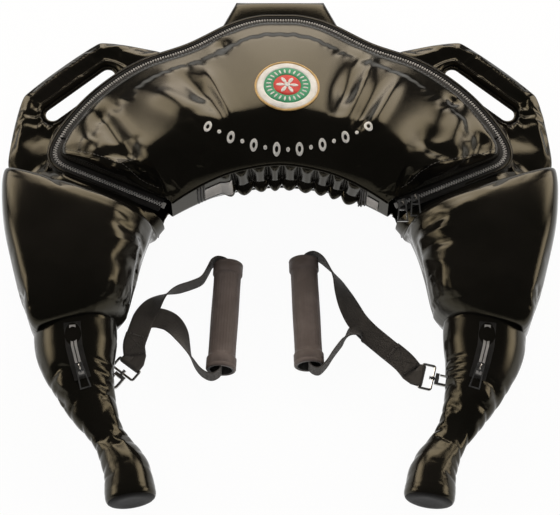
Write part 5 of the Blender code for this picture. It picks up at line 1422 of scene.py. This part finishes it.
def webSection(p, width, through, wide, thick):
    count = 22
    ring = []
    for face in (1, -1):
        for k in range(count):
            f = (k / (count - 1) * 2 - 1) * face
            edge = math.sqrt(max(1 - abs(f) ** 14, 0))
            rib = strap["rib"] * (math.cos(math.pi * strap["ribs"] * f) - 1) * 0.5
            ring.append(p + width * wide / 2 * f + through * face * (thick / 2 + rib) * max(edge, 0.3))
    return ring


def makeStrap(side):
    sign = -1 if side == "left" else 1
    bar, along = Vector((*strap["bar"][side], strap["low"])), Vector((*strap["heading"][side], 0))
    layer = (strap["thick"] + strap["layerGap"]) / 2
    wrap = strap["wire"] + strap["seat"] * 2 + strap["thick"] / 2
    doubled = [bar + along * 3 * wrap] + [Vector((x, y, strap["low"])) for x, y in strap["doubled"][side]]
    steps = strap["doubledSteps"]
    run = [splineAt(doubled, (len(doubled) - 1) * k / steps) for k in range(steps)]
    upper, lower = [], []
    for k, p in enumerate(run):
        ahead = (run[min(k + 1, steps - 1)] - run[k - 1]) if k else along
        level = Vector((ahead.y, -ahead.x, 0)).normalized() * sign
        upper.append((p + up * layer, level))
        lower.append((p - up * layer, level))
    level = Vector((along.y, -along.x, 0)).normalized() * sign
    loop = []
    for k in range(13):
        a = math.pi * k / 12
        loop.append((bar + (-along * math.sin(a) - up * math.cos(a)) * wrap, level))
    top = strapBranch(side, strap["upper"][side], strap["upperTilt"][side], layer, 1)
    low = strapBranch(side, strap["lower"][side], strap["lowerTilt"][side], -layer, -1)
    whole = loop + upper + top + low[::-1] + lower[::-1]
    grid = []
    count = len(whole)
    for k, (p, width) in enumerate(whole):
        ahead = (whole[(k + 1) % count][0] - whole[k - 1][0]).normalized()
        grid.append(webSection(p, width, ahead.cross(width).normalized(), strap["width"], strap["thick"]))
    piece = gridPiece("strap_web_skin_" + side, grid, wrapRows=True, wrapColumns=True)
    tidyNormals(piece)
    dress(piece, "webbing", "strap_" + side, ("strap_web_" + side,))
    start, share = strap["foldSpan"]
    sewFold(side, upper[start:int(steps * share)])


def sewFold(side, folded):
    patchRise = strap["thick"] / 2 + strap["foldGap"] + strap["foldHalf"]
    wide = strap["width"] * strap["foldWide"]
    rows = [webSection(p + up * patchRise, width, up, wide, strap["foldThick"]) for p, width in folded]
    patch = gridPiece("strap_fold_" + side, rows, wrapColumns=True)
    capEnds(patch, rows)
    tidyNormals(patch)
    dress(patch, "webbing", "strap_" + side)

    def onPatch(end, across):
        return end[0] + end[1] * strap["width"] * across + up * (patchRise + strap["stitchLift"])

    first, last, reach = folded[1], folded[-2], strap["stitchShare"]
    lines = [[onPatch(end, across) for end in folded[1:-1]] for across in (-reach, reach)]
    lines += [[onPatch(end, f / 10) for f in range(-4, 5)] for end in (first, last)]
    for sense in (1, -1):
        a, b = onPatch(first, reach * sense), onPatch(last, -reach * sense)
        lines.append([a.lerp(b, f / 8) for f in range(9)])
    rows = [stitchRow("row", line, *strap["stitch"]) for line in lines]
    dress(fuse("strap_stitches_" + side, rows), "thread", "strap_" + side)


def makeGrip(side):
    centre, axis = gripAxis(side)
    across = axis.cross(up)
    half, edge = grip["length"] / 2, grip["collar"]
    body = half - grip["collarLength"]
    inset = 0.0004
    stations = [(-half + along, edge - under) for along, under in grip["collarSection"]]
    stations += [(-body - 0.0016, edge), (-body - 0.0008, edge - 0.0003), (-body, edge - 0.0009),
                 (-body + inset, grip["radius"])]
    inner = []
    for k in range(1, grip["steps"]):
        f = k / grip["steps"]
        swell = grip["belly"] * math.sin(math.pi * f) ** 2 + grip["flare"] * (2 * f - 1) ** 2
        inner.append((-body + inset + 2 * (body - inset) * f, grip["waist"] + swell))
    stations = stations + inner + [(-a, r) for a, r in reversed(stations)]
    turns = [2 * math.pi * m / grip["around"] for m in range(grip["around"])]

    def ringAt(a, sizes):
        return [centre + axis * a + (across * math.cos(t) + up * math.sin(t)) * size for t, size in zip(turns, sizes)]

    grid = []
    for a, r in stations:
        ridged = 1 - smoothStep(body - 0.004, body - 0.001, abs(a))
        flutes = [abs(math.cos(t * grip["flutes"] / 2)) ** 0.6 - 1 for t in turns]
        grid.append(ringAt(a, [r + grip["flute"] * ridged * flute for flute in flutes]))
    for a in (half, half - 0.002, 0, -half + 0.002, -half):
        grid.append(ringAt(a, [grip["bore"]] * grip["around"]))
    piece = gridPiece("grip_skin_" + side, grid, wrapRows=True, wrapColumns=True)
    tidyNormals(piece)
    dress(piece, "rubber", "grip_" + side, ("grip_sleeve_" + side,))


for side in sides:
    makeStrap(side)
    makeGrip(side)
print("straps and grips made")

# Finishes on the pieces that keep their solids
plainFinish = {"zip_stop": "zipTeeth", "slider": "steel", "pull": "steel", "horn_slider": "steel", "horn_pull": "steel",
               "snap": "steel", "swivel": "steel", "strap": "webbing", "horn_tab": "webbing", "grip_sleeve": "rubber",
               "grip_tube": "tubeEnd", "horn_zip_tape": "zipTape", "horn_zip_teeth": "zipTeeth"}
for name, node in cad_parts.items():
    found = [key for key in plainFinish if name.startswith(key)]
    if found:
        node.data.materials.clear()
        node.data.materials.append(materials[plainFinish[max(found, key=len)]])

# Floor and light
studio = {"floorHalf": 3.0, "floorShare": 0.955, "floorGrey": 0.95, "world": 0.06, "warm": (1.0, 0.90, 0.79),
           "panels": (("backPanel", (0.0, 2.7, 1.10), (0, 0.1, 0), 1.9, 1.9, 5.0),
                     ("leftPanel", (-2.15, 1.80, 1.08), (0, 0, 0), 1.4, 1.6, 5.0),
                     ("rightPanel", (2.15, 1.80, 1.08), (0, 0, 0), 1.4, 1.6, 5.0),
                     ("leftStrip", (-2.75, -0.10, 0.88), (0, -0.1, 0), 1.7, 1.1, 4.6),
                     ("rightStrip", (2.75, -0.10, 0.88), (0, -0.1, 0), 1.7, 1.1, 4.6)),
          "fills": (("frontFill", (0.0, -1.2, 2.3), (0, -0.05, 0), 2.0, 2.0, 1.6),)}


def makeFloor():
    far = studio["floorHalf"]
    floor = meshPiece("floor", [(x * far, y * far, 0) for x, y in ((-1, -1), (1, -1), (1, 1), (-1, 1))], [(0, 1, 2, 3)])
    material = bpy.data.materials.new("paperSweep")
    material.use_nodes = True
    tree = material.node_tree
    shader = tree.nodes["Principled BSDF"]
    shader.inputs["Base Color"].default_value = (*[studio["floorGrey"]] * 3, 1)
    shader.inputs["Roughness"].default_value = 0.9
    shader.inputs["Specular IOR Level"].default_value = 0.1
    glow = tree.nodes.new("ShaderNodeEmission")
    glow.inputs["Strength"].default_value = 1.0
    mix = tree.nodes.new("ShaderNodeMixShader")
    rays = tree.nodes.new("ShaderNodeLightPath")
    seen = mathNode(tree, "MAXIMUM", rays.outputs["Is Camera Ray"], rays.outputs["Is Glossy Ray"])
    seen = mathNode(tree, "MAXIMUM", seen, rays.outputs["Is Transmission Ray"])
    share = mathNode(tree, "MULTIPLY", seen, studio["floorShare"])
    out = tree.nodes["Material Output"]
    tree.links.new(share, mix.inputs["Fac"])
    tree.links.new(shader.outputs[0], mix.inputs[1])
    tree.links.new(glow.outputs[0], mix.inputs[2])
    tree.links.new(mix.outputs[0], out.inputs["Surface"])
    floor.data.materials.append(material)


def makePanel(name, place, target, width, height, radiance):
    data = bpy.data.lights.new(name, "AREA")
    data.shape = "RECTANGLE"
    data.size, data.size_y = width, height
    data.energy = radiance * math.pi * width * height
    lamp = bpy.data.objects.new(name, data)
    bpy.context.scene.collection.objects.link(lamp)
    lamp.location = place
    lamp.rotation_euler = (Vector(place) - Vector(target)).to_track_quat("Z", "Y").to_euler()
    return lamp


makeFloor()
for panel in studio["panels"]:
    makePanel(*panel).data.color = studio["warm"]
for panel in studio["fills"]:
    makePanel(*panel).visible_glossy = False
world = bpy.data.worlds.new("studio")
bpy.context.scene.world = world
world.use_nodes = True
shade = world.node_tree.nodes["Background"]
shade.inputs["Color"].default_value = (1, 1, 1, 1)
shade.inputs["Strength"].default_value = studio["world"]
bpy.context.scene.view_settings.view_transform = "Standard"
print("studio ready")

bpy.context.view_layer.update()
